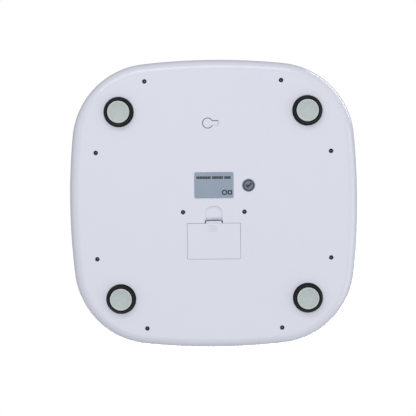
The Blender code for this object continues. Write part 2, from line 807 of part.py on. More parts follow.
def make_contacts():
    """Flat contacts at both ends of the pocket: two that end the series and two links."""
    single, double = 9 * MM, 9 * MM + CELL_PITCH
    middle = CELL_PITCH / 2
    contacts = {
        "battery_contact_negative": (-1, -CELL_PITCH, single),
        "battery_link_left": (-1, middle, double),
        "battery_link_right": (1, -middle, double),
        "battery_contact_positive": (1, CELL_PITCH, single),
    }
    for name, (side, offset, width) in contacts.items():
        inner, outer = sorted((side * CONTACT_X, side * (CONTACT_X + CONTACT_THICKNESS)))
        y = DOOR_Y + offset
        box_part(
            name,
            (inner, y - width / 2, CELL_Z - CONTACT_HEIGHT / 2),
            (outer, y + width / 2, CELL_Z + CONTACT_HEIGHT / 2),
            NICKEL,
        )


# ---------------------------------------------------------------- display and electronics
def make_display():
    window = rounded_rectangle(WINDOW_WIDTH, WINDOW_DEPTH, 4 * MM, (0, DISPLAY_Y))
    top = TOP_Z - 0.1 * MM
    prism_part("display_window", window, top - WINDOW_THICKNESS, top, CLEAR)

    body = rounded_rectangle(FRAME_WIDTH, FRAME_DEPTH, 1.5 * MM, (0, DISPLAY_Y), steps=2)
    frame = prism_part("lcd_frame", body, FRAME_Z, CEILING_Z - GAP, GREY_ABS)
    ear_x, ear_y = BOARD_SCREW_X + 3.5 * MM, 4 * MM
    bm = bmesh.new()
    for side in (1, -1):
        low_x, high_x = sorted((side * ear_x, side * (FRAME_WIDTH / 2 - 1 * MM)))
        add_box(
            bm,
            (low_x, DISPLAY_Y - ear_y, FRAME_Z),
            (high_x, DISPLAY_Y + ear_y, FRAME_Z + 2 * MM),
        )
    join(frame, bm, "frame_ears")
    bm = bmesh.new()
    hole = rounded_rectangle(
        LCD_WIDTH + 2 * GAP, LCD_DEPTH + 2 * GAP, 0.8 * MM, (0, DISPLAY_Y), steps=2
    )
    add_prism(bm, hole, 0, TOP_Z)
    for side in (1, -1):
        add_cylinder(bm, side * BOARD_SCREW_X, DISPLAY_Y, BOARD_SCREW_HOLE, 0, TOP_Z, steps=12)
    cut(frame, bm, "lcd_opening_and_screw_holes")

    half_x, half_y = LCD_WIDTH / 2, LCD_DEPTH / 2
    box_part(
        "lcd_panel",
        (-half_x, DISPLAY_Y - half_y, LCD_Z),
        (half_x, DISPLAY_Y + half_y, LCD_TOP_Z),
        LCD_GLASS,
    )
    strip_y = DISPLAY_Y + half_y - 2.2 * MM
    box_part(
        "elastomer_strip",
        (-30 * MM, strip_y - 1.1 * MM, BOARD_Z + BOARD_THICKNESS + GAP),
        (30 * MM, strip_y + 1.1 * MM, LCD_Z - GAP),
        RUBBER,
    )


def make_circuit_board():
    outline = rounded_rectangle(BOARD_WIDTH, BOARD_DEPTH, 2 * MM, (0, DISPLAY_Y), steps=2)
    board = prism_part("circuit_board", outline, BOARD_Z, BOARD_Z + BOARD_THICKNESS, BOARD)
    bm = bmesh.new()
    for side in (1, -1):
        add_cylinder(bm, side * BOARD_SCREW_X, DISPLAY_Y, BOARD_SCREW_HOLE, 0, TOP_Z, steps=12)
    cut(board, bm, "board_screw_holes")

    screw_profile = [
        (0, 32 * MM),
        (1 * MM, 31 * MM),
        (1 * MM, BOARD_Z - GAP),
        (2 * MM, BOARD_Z - GAP),
        (1.8 * MM, BOARD_Z - 1.5 * MM),
        (0, BOARD_Z - 1.5 * MM),
    ]
    screw = baked(turned("board_screw", screw_profile, ZINC, steps=12))
    for number, side in enumerate((1, -1), start=1):
        place = (side * BOARD_SCREW_X, DISPLAY_Y, 0)
        add_part(f"board_screw_{number}", screw, ZINC, place)

    half = 6 * MM
    chip = box_part(
        "processor_chip",
        (CHIP_X - half, CHIP_Y - half, BOARD_Z - 1.6 * MM),
        (CHIP_X + half, CHIP_Y + half, BOARD_Z - GAP),
        EPOXY,
    )
    bevel = chip.modifiers.new("rounding", "BEVEL")
    bevel.width = 0.4 * MM
    bevel.segments = 1

    body = 3 * MM
    switch = box_part(
        "unit_switch",
        (BUTTON_X - body, BUTTON_Y - body, SWITCH_Z),
        (BUTTON_X + body, BUTTON_Y + body, BOARD_Z - GAP),
        EPOXY,
    )
    bm = bmesh.new()
    add_cylinder(bm, BUTTON_X, BUTTON_Y, 1.6 * MM, BUTTON_POST_TOP_Z + 1.4 * MM, 23 * MM, steps=12)
    join(switch, bm, "switch_stem")


def make_unit_button():
    """A disc on a springy arm in the underside, with a post that reaches up to the switch."""
    root = Vector((BUTTON_ROOT_X, BUTTON_Y, UNDERSIDE_Z + BUTTON_THICKNESS / 2))
    bm = bmesh.new()
    add_prism(bm, button_outline(), UNDERSIDE_Z, UNDERSIDE_Z + BUTTON_THICKNESS)
    button = add_part("unit_button", mesh_of(bm, "unit_button"), WHITE)
    bm = bmesh.new()
    post_low = UNDERSIDE_Z + BUTTON_THICKNESS - 0.6 * MM
    add_cylinder(bm, BUTTON_X, BUTTON_Y, 1.7 * MM, post_low, BUTTON_POST_TOP_Z, steps=12)
    join(button, bm, "button_post")
    for obj in (button, button.modifiers["button_post"].object):
        obj.data.transform(Matrix.Translation(-root))
        obj.location = root


def make_leads():
    board_under = BOARD_Z - SENSOR_LEAD_RADIUS
    low = 9.4 * MM
    edge_x = FOOT_X - LOAD_CELL_SIZE / 2 - GAP
    cell_z = LOAD_CELL_Z + 1.1 * MM
    spacing = 9 * MM
    for number, (x, y) in enumerate(foot_places(), start=1):
        side = math.copysign(1, x)
        if y > 0:
            route = [
                (edge_x, y, cell_z),
                (72 * MM, y, cell_z),
                (58 * MM, 90 * MM, 14 * MM),
                (45 * MM, 81 * MM, 20 * MM),
                (41 * MM, 79 * MM, board_under),
            ]
        else:
            route = [
                (edge_x, y, cell_z),
                (72 * MM, y, cell_z),
                (60 * MM, -85 * MM, low),
                (54 * MM, -50 * MM, low),
                (52 * MM, 0, low),
                (50 * MM, 45 * MM, low + 1 * MM),
                (43 * MM, 64 * MM, 17 * MM),
                (38 * MM, 73 * MM, board_under),
            ]
        route = [(side * px, py, pz) for px, py, pz in route]
        tube(f"sensor_lead_{number}", smooth_route(route, spacing), SENSOR_LEAD_RADIUS, GREY_PVC)
    make_battery_leads(board_under, low)


def make_battery_leads(board_under, low):
    start_x = POCKET_WIDTH / 2
    for name, side, surface in (
        ("battery_lead_red", 1, RED_PVC),
        ("battery_lead_black", -1, BLACK_PVC),
    ):
        cell_y = DOOR_Y + side * CELL_PITCH
        route = [
            (start_x, cell_y, CELL_Z),
            (start_x + 5 * MM, cell_y, CELL_Z),
            (40 * MM, cell_y + 8 * MM, 11 * MM),
            (42 * MM, 0, low),
            (40 * MM, 30 * MM, low),
            (28 * MM, 55 * MM, 14 * MM),
            (22 * MM, 68 * MM, 20 * MM),
            (20 * MM, 73 * MM, board_under),
        ]
        route = [(side * px, py, pz) for px, py, pz in route]
        tube(name, smooth_route(route, 6 * MM), BATTERY_LEAD_RADIUS, surface)


# ---------------------------------------------------------------- films on the underside
def make_films():
    low = UNDERSIDE_Z + FILM_POCKET - GAP - FILM_THICKNESS
    label = rounded_rectangle(LABEL_WIDTH, LABEL_DEPTH, 1.5 * MM, (LABEL_X, LABEL_Y))
    prism_part("rating_label", label, low, low + FILM_THICKNESS, SILVER_FILM)
    bm = bmesh.new()
    add_cylinder(bm, STICKER_X, STICKER_Y, STICKER_RADIUS, low, low + FILM_THICKNESS, steps=24)
    add_part("inspection_sticker", mesh_of(bm, "inspection_sticker"), GREY_FILM)


clear_scene()
PARTS = new_collection("bathroom_scale")
CUTTERS = new_collection("cutters")

WHITE = material("white_abs", (0.80, 0.81, 0.86), 0.38)
GREY_ABS = material("grey_abs", (0.42, 0.43, 0.45), 0.5)
RUBBER = material("black_rubber", (0.02, 0.02, 0.022), 0.45)
SILICONE = material("grey_green_silicone", (0.50, 0.56, 0.53), 0.55)
STEEL = material("load_cell_steel", (0.55, 0.55, 0.56), 0.35, 1.0)
ZINC = material("dark_zinc", (0.10, 0.10, 0.11), 0.4, 0.9)
NICKEL = material("nickel", (0.72, 0.70, 0.66), 0.25, 1.0)
CELL_SKIN = material("battery_wrap", (0.06, 0.16, 0.30), 0.35, 0.2)
CLEAR = material("clear_acrylic", (0.12, 0.13, 0.13), 0.08)
LCD_GLASS = material("lcd_glass", (0.42, 0.48, 0.40), 0.15)
BOARD = material("board_laminate", (0.04, 0.22, 0.10), 0.4)
EPOXY = material("black_epoxy", (0.03, 0.03, 0.03), 0.45)
GREY_PVC = material("grey_pvc", (0.35, 0.35, 0.36), 0.5)
RED_PVC = material("red_pvc", (0.45, 0.03, 0.03), 0.45)
BLACK_PVC = material("black_pvc", (0.03, 0.03, 0.03), 0.45)
SILVER_FILM = material("silver_film", (0.30, 0.35, 0.41), 0.35, 0.3)
GREY_FILM = material("grey_film", (0.14, 0.17, 0.22), 0.45)

make_bottom_cover()
make_top_platform()
make_screws()
make_feet()
make_load_cells()
make_battery_door()
cut_door_tab_slots()
make_door_latch()
make_batteries()
make_contacts()
make_display()
make_circuit_board()
make_unit_button()
make_leads()
make_films()
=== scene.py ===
import math

import bmesh
import bpy
from mathutils import Matrix, Quaternion, Vector


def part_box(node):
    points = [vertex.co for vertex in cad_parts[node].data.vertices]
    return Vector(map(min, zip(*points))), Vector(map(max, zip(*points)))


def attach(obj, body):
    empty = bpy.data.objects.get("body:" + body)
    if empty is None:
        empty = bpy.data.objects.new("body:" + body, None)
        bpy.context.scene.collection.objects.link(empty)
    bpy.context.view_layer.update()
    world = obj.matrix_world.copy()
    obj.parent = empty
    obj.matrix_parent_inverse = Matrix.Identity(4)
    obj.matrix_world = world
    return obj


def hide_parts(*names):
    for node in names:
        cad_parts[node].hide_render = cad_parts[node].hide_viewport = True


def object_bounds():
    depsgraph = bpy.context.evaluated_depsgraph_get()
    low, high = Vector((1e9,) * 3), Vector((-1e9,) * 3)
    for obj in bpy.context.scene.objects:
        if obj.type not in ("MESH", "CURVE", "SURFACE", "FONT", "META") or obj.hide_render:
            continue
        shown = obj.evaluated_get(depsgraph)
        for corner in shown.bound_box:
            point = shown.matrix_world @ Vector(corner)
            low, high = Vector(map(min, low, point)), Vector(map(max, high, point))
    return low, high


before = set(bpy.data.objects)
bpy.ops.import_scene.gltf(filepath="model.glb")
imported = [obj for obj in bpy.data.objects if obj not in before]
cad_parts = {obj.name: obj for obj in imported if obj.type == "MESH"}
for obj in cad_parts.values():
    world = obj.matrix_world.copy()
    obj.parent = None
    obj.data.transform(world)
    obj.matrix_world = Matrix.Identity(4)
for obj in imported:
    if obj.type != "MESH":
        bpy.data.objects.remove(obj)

# Looks of a digital bathroom scale: the camera is below it, towards the underside. Places come
# from the frame's boxes, and what the boxes don't say is a named size here, in metres.

MM = 0.001
cad_low, cad_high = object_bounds()

CAMERA_PLACE = Vector((-5, 57.7, -1006)) * MM
CAMERA_AIM = Vector((5.9, -2.7, 5)) * MM
CAMERA_ROLL = math.radians(0.52)
AMBIENT_BELOW = 0.66
AMBIENT_ABOVE = 0.2

TURN_STEPS = 72
SHARP_ANGLE = 35
BEVEL_ANGLE = 40
GAP = 0.3 * MM
EDGE_GAP = Vector((GAP, GAP, 0))

SIDE_RADIUS = 690 * MM
CORNER_RADIUS = 83 * MM
HALF_WIDTH = cad_high.x
TOP_Z = cad_high.z
UNDERSIDE_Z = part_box("bottom_cover")[0].z
PARTING_Z = 20 * MM  # where the bottom cover meets the platform
COVER_EDGE = 12 * MM
COVER_WALL = 2.2 * MM
PLATFORM_EDGE = 7.5 * MM
PLATFORM_WALL = 2.4 * MM
WINDOW_OPENING = (70 * MM, 28 * MM)

GRIP_X = 60 * MM
GRIP_Y = -22 * MM
GRIP_Z = TOP_Z - 0.55 * MM
GRIP_HALF_WIDTH = 36 * MM
GRIP_HALF_DEPTH = 76 * MM

SCREWS = [f"case_screw_{number}" for number in range(1, 9)]
SCREWS += [f"centre_screw_{number}" for number in (1, 2)]
SCREW_HOLE_RADIUS = 2.35 * MM
SHANK_HOLE_RADIUS = 1.7 * MM
SLEEVE_RADIUS = 4 * MM
CUPS = [f"foot_cup_{number}" for number in range(1, 5)]
FOOT_HOLE_RADIUS = 15.4 * MM
BEAD_RADIUS = 14.7 * MM
BEAD_Z = 2.2 * MM
FLANGE_Z, FLANGE_TOP_Z = 7.5 * MM, 8.9 * MM
FOOT_STUD_RADIUS = 4.5 * MM

DOOR_DEPTH = 36.8 * MM
DOOR_TOP_Z = UNDERSIDE_Z + 1.8 * MM
DOOR_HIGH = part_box("battery_door")[1]
DOOR_LOW = Vector((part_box("battery_door")[0].x, DOOR_HIGH.y - DOOR_DEPTH, UNDERSIDE_Z))
DOOR_Y = (DOOR_LOW.y + DOOR_HIGH.y) / 2
DOOR_CLIP_X = 17 * MM
POCKET_LOW = Vector((-25.6 * MM, DOOR_Y - 17.5 * MM, 3 * MM))
POCKET_HIGH = Vector((25.6 * MM, DOOR_Y + 17.5 * MM, 18.4 * MM))
TUB_WALL = 1.6 * MM
LATCH_SLOT_HALF_WIDTH = 9.2 * MM
RECESS_HALF_WIDTH = 9 * MM
RECESS_Y = -16.2 * MM
ARCH_Y = -9 * MM
ARCH_TOP_Y = -0.4 * MM

CELL_LENGTH, CELL_RADIUS = 44.5 * MM, 5.25 * MM
CELL_SHOULDER = CELL_LENGTH - 1 * MM
CELL_BAND = 12 * MM
ARM_HALF_WIDTH = 2.1 * MM
INK_PROUD, INK_SUNK = 0.03 * MM, 0.05 * MM


# ---------------------------------------------------------------- objects
def add_object(name, data):
    obj = bpy.data.objects.new(name, data)
    bpy.context.scene.collection.objects.link(obj)
    return obj


# ---------------------------------------------------------------- camera, lights, floor
def make_camera():
    """Below the object and a little off its middle, with the object's +Y up in the picture."""
    data = bpy.data.cameras.new("camera")
    data.lens = 85
    data.sensor_width = 36
    data.clip_start, data.clip_end = 0.05, 20
    camera = add_object("camera", data)
    forward = (CAMERA_AIM - CAMERA_PLACE).normalized()
    right = forward.cross(Vector((0, 1, 0))).normalized()
    up = right.cross(forward)
    level = Matrix((right, up, -forward)).transposed().to_quaternion()
    camera.location = CAMERA_PLACE
    camera.rotation_mode = "QUATERNION"
    camera.rotation_quaternion = Quaternion(forward, CAMERA_ROLL) @ level
    bpy.context.scene.camera = camera


def make_area(name, place, size, power, colour=(1, 1, 1)):
    """A soft rectangle of light, (width, height), that faces the object."""
    data = bpy.data.lights.new(name, "AREA")
    data.shape = "RECTANGLE"
    data.size, data.size_y = size
    data.energy = power
    data.color = colour
    light = add_object(name, data)
    light.location = place
    light.rotation_euler = (-Vector(place)).to_track_quat("-Z", "Y").to_euler()
    light.visible_camera = False


def make_lights():
    make_area("soft_below", (0.1, -0.25, -1.9), (1.7, 1.7), 4.5)
    make_area("key_below", (0.3, 1.1, -0.8), (1.5, 0.3), 4.5, (0.98, 0.99, 1.0))
    make_area("side_below", (-1.4, -0.3, -0.4), (1.4, 0.9), 3.6, (1.0, 0.99, 0.98))
    make_area("soft_above", (0.6, -0.8, 1.5), (1.2, 1.2), 7, (1.0, 0.99, 0.98))
    make_area("rim_above", (-1.1, 0.9, 0.9), (1.2, 0.3), 5, (0.97, 0.98, 1.0))
    data = bpy.data.lights.new("overhead", "SUN")
    data.energy = 1.7
    data.angle = math.radians(50)
    overhead = add_object("overhead", data)
    overhead.rotation_euler = (math.radians(22), math.radians(-16), 0)


def make_world():
    """White behind the object; the even light on it is stronger from below than from above."""
    world = bpy.data.worlds.new("studio")
    bpy.context.scene.world = world
    world.use_nodes = True
    nodes, links = world.node_tree.nodes, world.node_tree.links
    nodes.clear()
    direction = nodes.new("ShaderNodeTexCoord")
    split = nodes.new("ShaderNodeSeparateXYZ")
    level = nodes.new("ShaderNodeMapRange")
    level.inputs["From Min"].default_value = -0.5
    level.inputs["From Max"].default_value = 0.5
    level.inputs["To Min"].default_value = AMBIENT_BELOW
    level.inputs["To Max"].default_value = AMBIENT_ABOVE
    lit = nodes.new("ShaderNodeBackground")
    lit.inputs["Color"].default_value = (0.95, 0.965, 1.0, 1)
    seen = nodes.new("ShaderNodeBackground")
    seen.inputs["Color"].default_value = (1, 1, 1, 1)
    path = nodes.new("ShaderNodeLightPath")
    mix = nodes.new("ShaderNodeMixShader")
    out = nodes.new("ShaderNodeOutputWorld")
    links.new(direction.outputs["Generated"], split.inputs["Vector"])
    links.new(split.outputs["Z"], level.inputs["Value"])
    links.new(level.outputs["Result"], lit.inputs["Strength"])
    links.new(path.outputs["Is Camera Ray"], mix.inputs["Fac"])
    links.new(lit.outputs["Background"], mix.inputs[1])
    links.new(seen.outputs["Background"], mix.inputs[2])
    links.new(mix.outputs["Shader"], out.inputs["Surface"])
    bpy.context.scene.view_settings.view_transform = "Standard"


def make_floor():
    """A pale floor that is clear from below, so that it never hides the underside."""
    bm = bmesh.new()
    bmesh.ops.create_grid(bm, x_segments=1, y_segments=1, size=6)
    mesh = bpy.data.meshes.new("floor")
    bm.to_mesh(mesh)
    bm.free()
    floor = add_object("floor", mesh)
    floor.location.z = -0.2 * MM
    made = bpy.data.materials.new("floor")
    made.use_nodes = True
    nodes, links = made.node_tree.nodes, made.node_tree.links
    shader = nodes["Principled BSDF"]
    shader.inputs["Base Color"].default_value = (0.86, 0.86, 0.87, 1)
    shader.inputs["Roughness"].default_value = 0.6
    clear = nodes.new("ShaderNodeBsdfTransparent")
    geometry = nodes.new("ShaderNodeNewGeometry")
    mix = nodes.new("ShaderNodeMixShader")
    links.new(geometry.outputs["Backfacing"], mix.inputs["Fac"])
    links.new(shader.outputs["BSDF"], mix.inputs[1])
    links.new(clear.outputs["BSDF"], mix.inputs[2])
    links.new(mix.outputs["Shader"], nodes["Material Output"].inputs["Surface"])
    mesh.materials.append(made)
    floor.visible_shadow = False
    floor.visible_diffuse = False
    floor.visible_glossy = False
    floor.visible_transmission = False


# ---------------------------------------------------------------- materials
def surface(name, colour, other, roughness, scale=900, bump=0.02, metallic=0.0, **sockets):
    """A Principled material whose colour, roughness and relief vary with two noises."""
    made = bpy.data.materials.new(name)
    made.use_nodes = True
    nodes, links = made.node_tree.nodes, made.node_tree.links
    shader = nodes["Principled BSDF"]
    shader.inputs["Metallic"].default_value = metallic
    for socket, value in sockets.items():
        shader.inputs[socket.replace("_", " ")].default_value = value
    place = nodes.new("ShaderNodeTexCoord")
    broad = nodes.new("ShaderNodeTexNoise")
    broad.inputs["Scale"].default_value = scale / 45
    broad.inputs["Detail"].default_value = 4
    fine = nodes.new("ShaderNodeTexNoise")
    fine.inputs["Scale"].default_value = scale
    fine.inputs["Detail"].default_value = 2
    for noise in (broad, fine):
        links.new(place.outputs["Object"], noise.inputs["Vector"])
    tint = nodes.new("ShaderNodeMix")
    tint.data_type = "RGBA"
    tint.inputs["A"].default_value = (*colour, 1)
    tint.inputs["B"].default_value = (*other, 1)
    links.new(broad.outputs["Fac"], tint.inputs["Factor"])
    links.new(tint.outputs["Result"], shader.inputs["Base Color"])
    spread = nodes.new("ShaderNodeMapRange")
    spread.inputs["To Min"].default_value = roughness - 0.05
    spread.inputs["To Max"].default_value = roughness + 0.05
    links.new(fine.outputs["Fac"], spread.inputs["Value"])
    links.new(spread.outputs["Result"], shader.inputs["Roughness"])
    relief = nodes.new("ShaderNodeBump")
    relief.inputs["Strength"].default_value = bump
    relief.inputs["Distance"].default_value = 0.3 * MM
    links.new(fine.outputs["Fac"], relief.inputs["Height"])
    links.new(relief.outputs["Normal"], shader.inputs["Normal"])
    return made


def streaks(made, direction, strength):
    """Turns a material's fine noise into parallel lines, as on brushed or stamped metal."""
    nodes, links = made.node_tree.nodes, made.node_tree.links
    stretch = nodes.new("ShaderNodeMapping")
    stretch.inputs["Scale"].default_value = direction
    links.new(nodes["Texture Coordinate"].outputs["Object"], stretch.inputs["Vector"])
    links.new(stretch.outputs["Vector"], nodes["Noise Texture.001"].inputs["Vector"])
    nodes["Bump"].inputs["Strength"].default_value = strength
    return made


def painted_crest_highlight(made, radius, half_width, colour):
    """A painted highlight: a lighter ring on a round piece, broken up by noise, at a distance from its
    own Z axis.
    """
    nodes, links = made.node_tree.nodes, made.node_tree.links
    flat = nodes.new("ShaderNodeVectorMath")
    flat.operation = "MULTIPLY"
    flat.inputs[1].default_value = (1, 1, 0)
    reach = nodes.new("ShaderNodeVectorMath")
    reach.operation = "LENGTH"
    away = nodes.new("ShaderNodeMath")
    away.operation = "COMPARE"
    away.inputs[1].default_value = radius
    away.inputs[2].default_value = half_width
    soften = nodes.new("ShaderNodeMath")
    soften.operation = "MULTIPLY"
    mix = nodes.new("ShaderNodeMix")
    mix.data_type = "RGBA"
    mix.inputs["B"].default_value = (*colour, 1)
    links.new(nodes["Texture Coordinate"].outputs["Object"], flat.inputs[0])
    links.new(flat.outputs["Vector"], reach.inputs[0])
    links.new(reach.outputs["Value"], away.inputs[0])
    links.new(away.outputs["Value"], soften.inputs[0])
    links.new(nodes["Noise Texture"].outputs["Fac"], soften.inputs[1])
    links.new(soften.outputs["Value"], mix.inputs["Factor"])
    links.new(nodes["Mix"].outputs["Result"], mix.inputs["A"])
    links.new(mix.outputs["Result"], nodes["Principled BSDF"].inputs["Base Color"])
    return made


def make_materials():
    white = surface(
        "white_abs", (0.775, 0.79, 0.875), (0.79, 0.80, 0.88), 0.4, 1600, 0.03, Coat_Weight=0.8,
        Coat_Roughness=0.15,
    )
    white_top = surface(
        "white_abs_top", (0.785, 0.795, 0.87), (0.80, 0.81, 0.88), 0.42, 1300, 0.06
    )
    return {
        "white": white,
        "white_top": white_top,
        "grey_abs": surface("grey_abs", (0.40, 0.41, 0.43), (0.45, 0.46, 0.47), 0.5, 900, 0.05),
        "rubber": surface("rubber", (0.004, 0.004, 0.005), (0.01, 0.01, 0.011), 0.5, 1500, 0.06),
        # The ring's rubber has a painted highlight: a lighter band along the bead's crest, where the
        # reflection falls.
        "ring_rubber": painted_crest_highlight(
            surface(
                "ring_rubber", (0.001, 0.001, 0.002), (0.003, 0.003, 0.004), 0.35, 1500, 0.04,
                Specular_IOR_Level=0.12,
            ),
            13.2 * MM, 0.5 * MM, (0.06, 0.063, 0.066),
        ),
        "silicone": surface(
            "silicone", (0.55, 0.60, 0.58), (0.60, 0.645, 0.625), 0.5, 700, 0.12, Subsurface_Weight=0.15,
            Subsurface_Scale=0.002,
        ),
        # A paler copy of the silicone for the pad's rim: a painted highlight.
        "silicone_rim_highlight": surface(
            "silicone_rim_highlight", (0.66, 0.70, 0.69), (0.70, 0.73, 0.72), 0.45, 700, 0.06
        ),
        "steel": streaks(
            surface("steel", (0.50, 0.50, 0.51), (0.58, 0.58, 0.58), 0.32, 600, 0.1, 1.0),
            (1, 12, 1), 0.15,
        ),
        "zinc": surface("zinc", (0.022, 0.023, 0.026), (0.04, 0.04, 0.045), 0.36, 900, 0.05, 0.85),
        # Lighter metal for the faces inside the screws' cross: a painted glint.
        "drive": surface("drive", (0.30, 0.30, 0.31), (0.45, 0.45, 0.46), 0.4, 900, 0.05, 0.7),
        "nickel": surface("nickel", (0.66, 0.64, 0.60), (0.74, 0.72, 0.68), 0.22, 500, 0.04, 1.0),
        "battery": surface("battery", (0.03, 0.10, 0.24), (0.04, 0.13, 0.28), 0.3, 500, 0.02, 0.3),
        "battery_band": surface(
            "battery_band", (0.62, 0.63, 0.64), (0.70, 0.70, 0.71), 0.3, 500, 0.02, 0.6
        ),
        "clear": surface(
            "clear", (0.97, 0.98, 0.98), (1, 1, 1), 0.07, 300, 0.0, Transmission_Weight=1.0, IOR=1.49
        ),
        "mask": surface("mask", (0.018, 0.019, 0.022), (0.026, 0.027, 0.03), 0.3, 700, 0.02),
        "lcd": surface("lcd", (0.36, 0.42, 0.36), (0.40, 0.46, 0.39), 0.2, 400, 0.01),
        "digit": surface("digit", (0.03, 0.035, 0.035), (0.045, 0.05, 0.05), 0.35, 400, 0.01),
        "board": surface("board", (0.02, 0.16, 0.07), (0.03, 0.20, 0.09), 0.35, 350, 0.12),
        "epoxy": surface("epoxy", (0.02, 0.02, 0.02), (0.035, 0.035, 0.035), 0.45, 900, 0.1),
        "grey_pvc": surface("grey_pvc", (0.30, 0.30, 0.31), (0.36, 0.36, 0.37), 0.45, 700, 0.05),
        "red_pvc": surface("red_pvc", (0.42, 0.02, 0.02), (0.50, 0.04, 0.03), 0.4, 700, 0.05),
        "black_pvc": surface("black_pvc", (0.02, 0.02, 0.02), (0.04, 0.04, 0.04), 0.4, 700, 0.05),
        "silver_film": streaks(
            surface("silver_film", (0.255, 0.325, 0.40), (0.355, 0.42, 0.505), 0.38, 1500, 0.04, 0.15),
            (1, 6, 1), 0.04,
        ),
        "grey_film": surface(
            "grey_film", (0.155, 0.18, 0.24), (0.19, 0.22, 0.28), 0.4, 500, 0.03
        ),
        "ink": surface("ink", (0.008, 0.01, 0.018), (0.02, 0.023, 0.032), 0.45, 700, 0.02),
    }


# ---------------------------------------------------------------- shape helpers
def quarter_turns(points):
    """The points, then the same points turned by 90, 180 and 270 degrees about Z."""
    turned = []
    for quarter in range(4):
        angle = quarter * math.pi / 2
        cosine, sine = round(math.cos(angle)), round(math.sin(angle))
        turned += [(x * cosine - y * sine, x * sine + y * cosine) for x, y in points]
    return turned


def case_outline(inset, arc_steps=26, side_steps=8):
    """The rounded square, drawn in by inset: four bowed sides and four tangent corners."""
    side_centre = HALF_WIDTH - SIDE_RADIUS
    reach = SIDE_RADIUS - CORNER_RADIUS
    corner = (math.sqrt(2 * reach**2 - side_centre**2) + side_centre) / 2
    side_angle = math.asin(corner / reach)
    side, bend = SIDE_RADIUS - inset, CORNER_RADIUS - inset
    half_side = [
        (side_centre + side * math.cos(a), side * math.sin(a))
        for a in (side_angle * step / side_steps for step in range(side_steps))
    ]
    quarter = list(half_side)
    for step in range(arc_steps + 1):
        angle = side_angle + (math.pi / 2 - 2 * side_angle) * step / arc_steps
        quarter.append((corner + bend * math.cos(angle), corner + bend * math.sin(angle)))
    quarter += [(y, x) for x, y in reversed(half_side[1:])]
    return quarter_turns(quarter)


def rounded_rectangle(width, depth, radius, centre=(0, 0), steps=8):
    points = []
    for quarter, (x_side, y_side) in enumerate([(1, 1), (-1, 1), (-1, -1), (1, -1)]):
        for step in range(steps + 1):
            angle = (quarter + step / steps) * math.pi / 2
            x = centre[0] + x_side * (width / 2 - radius) + radius * math.cos(angle)
            y = centre[1] + y_side * (depth / 2 - radius) + radius * math.sin(angle)
            points.append((x, y))
    return points


def circle(radius, centre=(0, 0), steps=TURN_STEPS):
    angles = [2 * math.pi * step / steps for step in range(steps)]
    return [(centre[0] + radius * math.cos(a), centre[1] + radius * math.sin(a)) for a in angles]


def ring(points, z):
    """The (x, y) points at a height, which may be a function of x and y."""
    return [Vector((x, y, z(x, y) if callable(z) else z)) for x, y in points]


def loft(bm, rings, last_cap=True, closed=False):
    """Quads between rings of equally many points, and a face over each open end."""
    loops = [[bm.verts.new(p) for p in points] for points in rings]
    pairs = list(zip(loops, loops[1:]))
    if closed:
        pairs.append((loops[-1], loops[0]))
    for low, high in pairs:
        for i in range(len(low)):
            bm.faces.new((low[i - 1], low[i], high[i], high[i - 1]))
    if not closed:
        bm.faces.new(loops[0])
    if last_cap and not closed:
        bm.faces.new(loops[-1])


def prism(bm, points, low, high):
    loft(bm, [ring(points, low), ring(points, high)])


def block(bm, low, high):
    centre, size = (Vector(low) + Vector(high)) / 2, Vector(high) - Vector(low)
    bmesh.ops.create_cube(bm, matrix=Matrix.Translation(centre) @ Matrix.Diagonal((*size, 1)))


def side_prism(bm, profile, low_x, high_x):
    """A closed (y, z) profile drawn out along X."""
    loft(bm, [[Vector((x, y, z)) for y, z in profile] for x in (low_x, high_x)])


def turn(bm, profile, centre=(0, 0), steps=TURN_STEPS):
    """A (radius, z) profile turned about Z; its ends are flat faces."""
    loft(bm, [ring(circle(r, centre, steps), z) for r, z in profile])


def mesh_object(name, bm, material, sharp=SHARP_ANGLE, place=(0, 0, 0)):
    bmesh.ops.recalc_face_normals(bm, faces=bm.faces)
    mesh = bpy.data.meshes.new(name)
    bm.to_mesh(mesh)
    bm.free()
    mesh.shade_smooth()
    mesh.set_sharp_from_angle(angle=math.radians(sharp))
    mesh.materials.append(material)
    obj = add_object(name, mesh)
    obj.location = place
    return obj


def add_copy(name, source, place):
    """Another object with the same mesh, moved in X and Y only."""
    copy = add_object(name, source.data)
    copy.location = (place.x, place.y, 0)
    return copy


def boolean(obj, bm, operation):
    """Cuts or joins the shapes in bm at once, and throws the tool away."""
    tool = mesh_object("tool", bm, obj.data.materials[0])
    tool.location = obj.location
    modifier = obj.modifiers.new("shape", "BOOLEAN")
    modifier.operation = operation
    modifier.solver = "EXACT"
    modifier.object = tool
    apply_modifiers(obj)
    bpy.data.objects.remove(tool)


def apply_modifiers(obj):
    graph = bpy.context.evaluated_depsgraph_get()
    graph.update()
    mesh = bpy.data.meshes.new_from_object(obj.evaluated_get(graph))
    obj.modifiers.clear()
    obj.data = mesh


def round_edges(obj, width, segments):
    """Small rounded edges on a simple shape."""
    bevel = obj.modifiers.new("edges", "BEVEL")
    bevel.width = width
    bevel.segments = segments
    bevel.limit_method = "ANGLE"
    bevel.angle_limit = math.radians(BEVEL_ANGLE)
    even_shading(obj)


def even_shading(obj):
    """Smooth over small angles, with normals that keep wide flat faces flat."""
    apply_modifiers(obj)
    obj.data.shade_smooth()
    obj.data.set_sharp_from_angle(angle=math.radians(SHARP_ANGLE))
    weigh = obj.modifiers.new("normals", "WEIGHTED_NORMAL")
    weigh.mode = "FACE_AREA"
    weigh.keep_sharp = True
    apply_modifiers(obj)


def dress(obj, body, slot, *nodes):
    """The piece rides a body and stands for the CAD nodes, which are hidden. Its slot argument is not
    used.
    """
    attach(obj, body)
    if nodes:
        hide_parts(*nodes)


def middle(node):
    low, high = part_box(node)
    return (low + high) / 2


# ---------------------------------------------------------------- case
def rounded_edge(inset, flat_z, rim_z, steps):
    angles = [math.pi / 2 * step / steps for step in range(steps + 1)]
    return [(inset * (1 - math.sin(a)), rim_z + (flat_z - rim_z) * math.cos(a)) for a in angles]


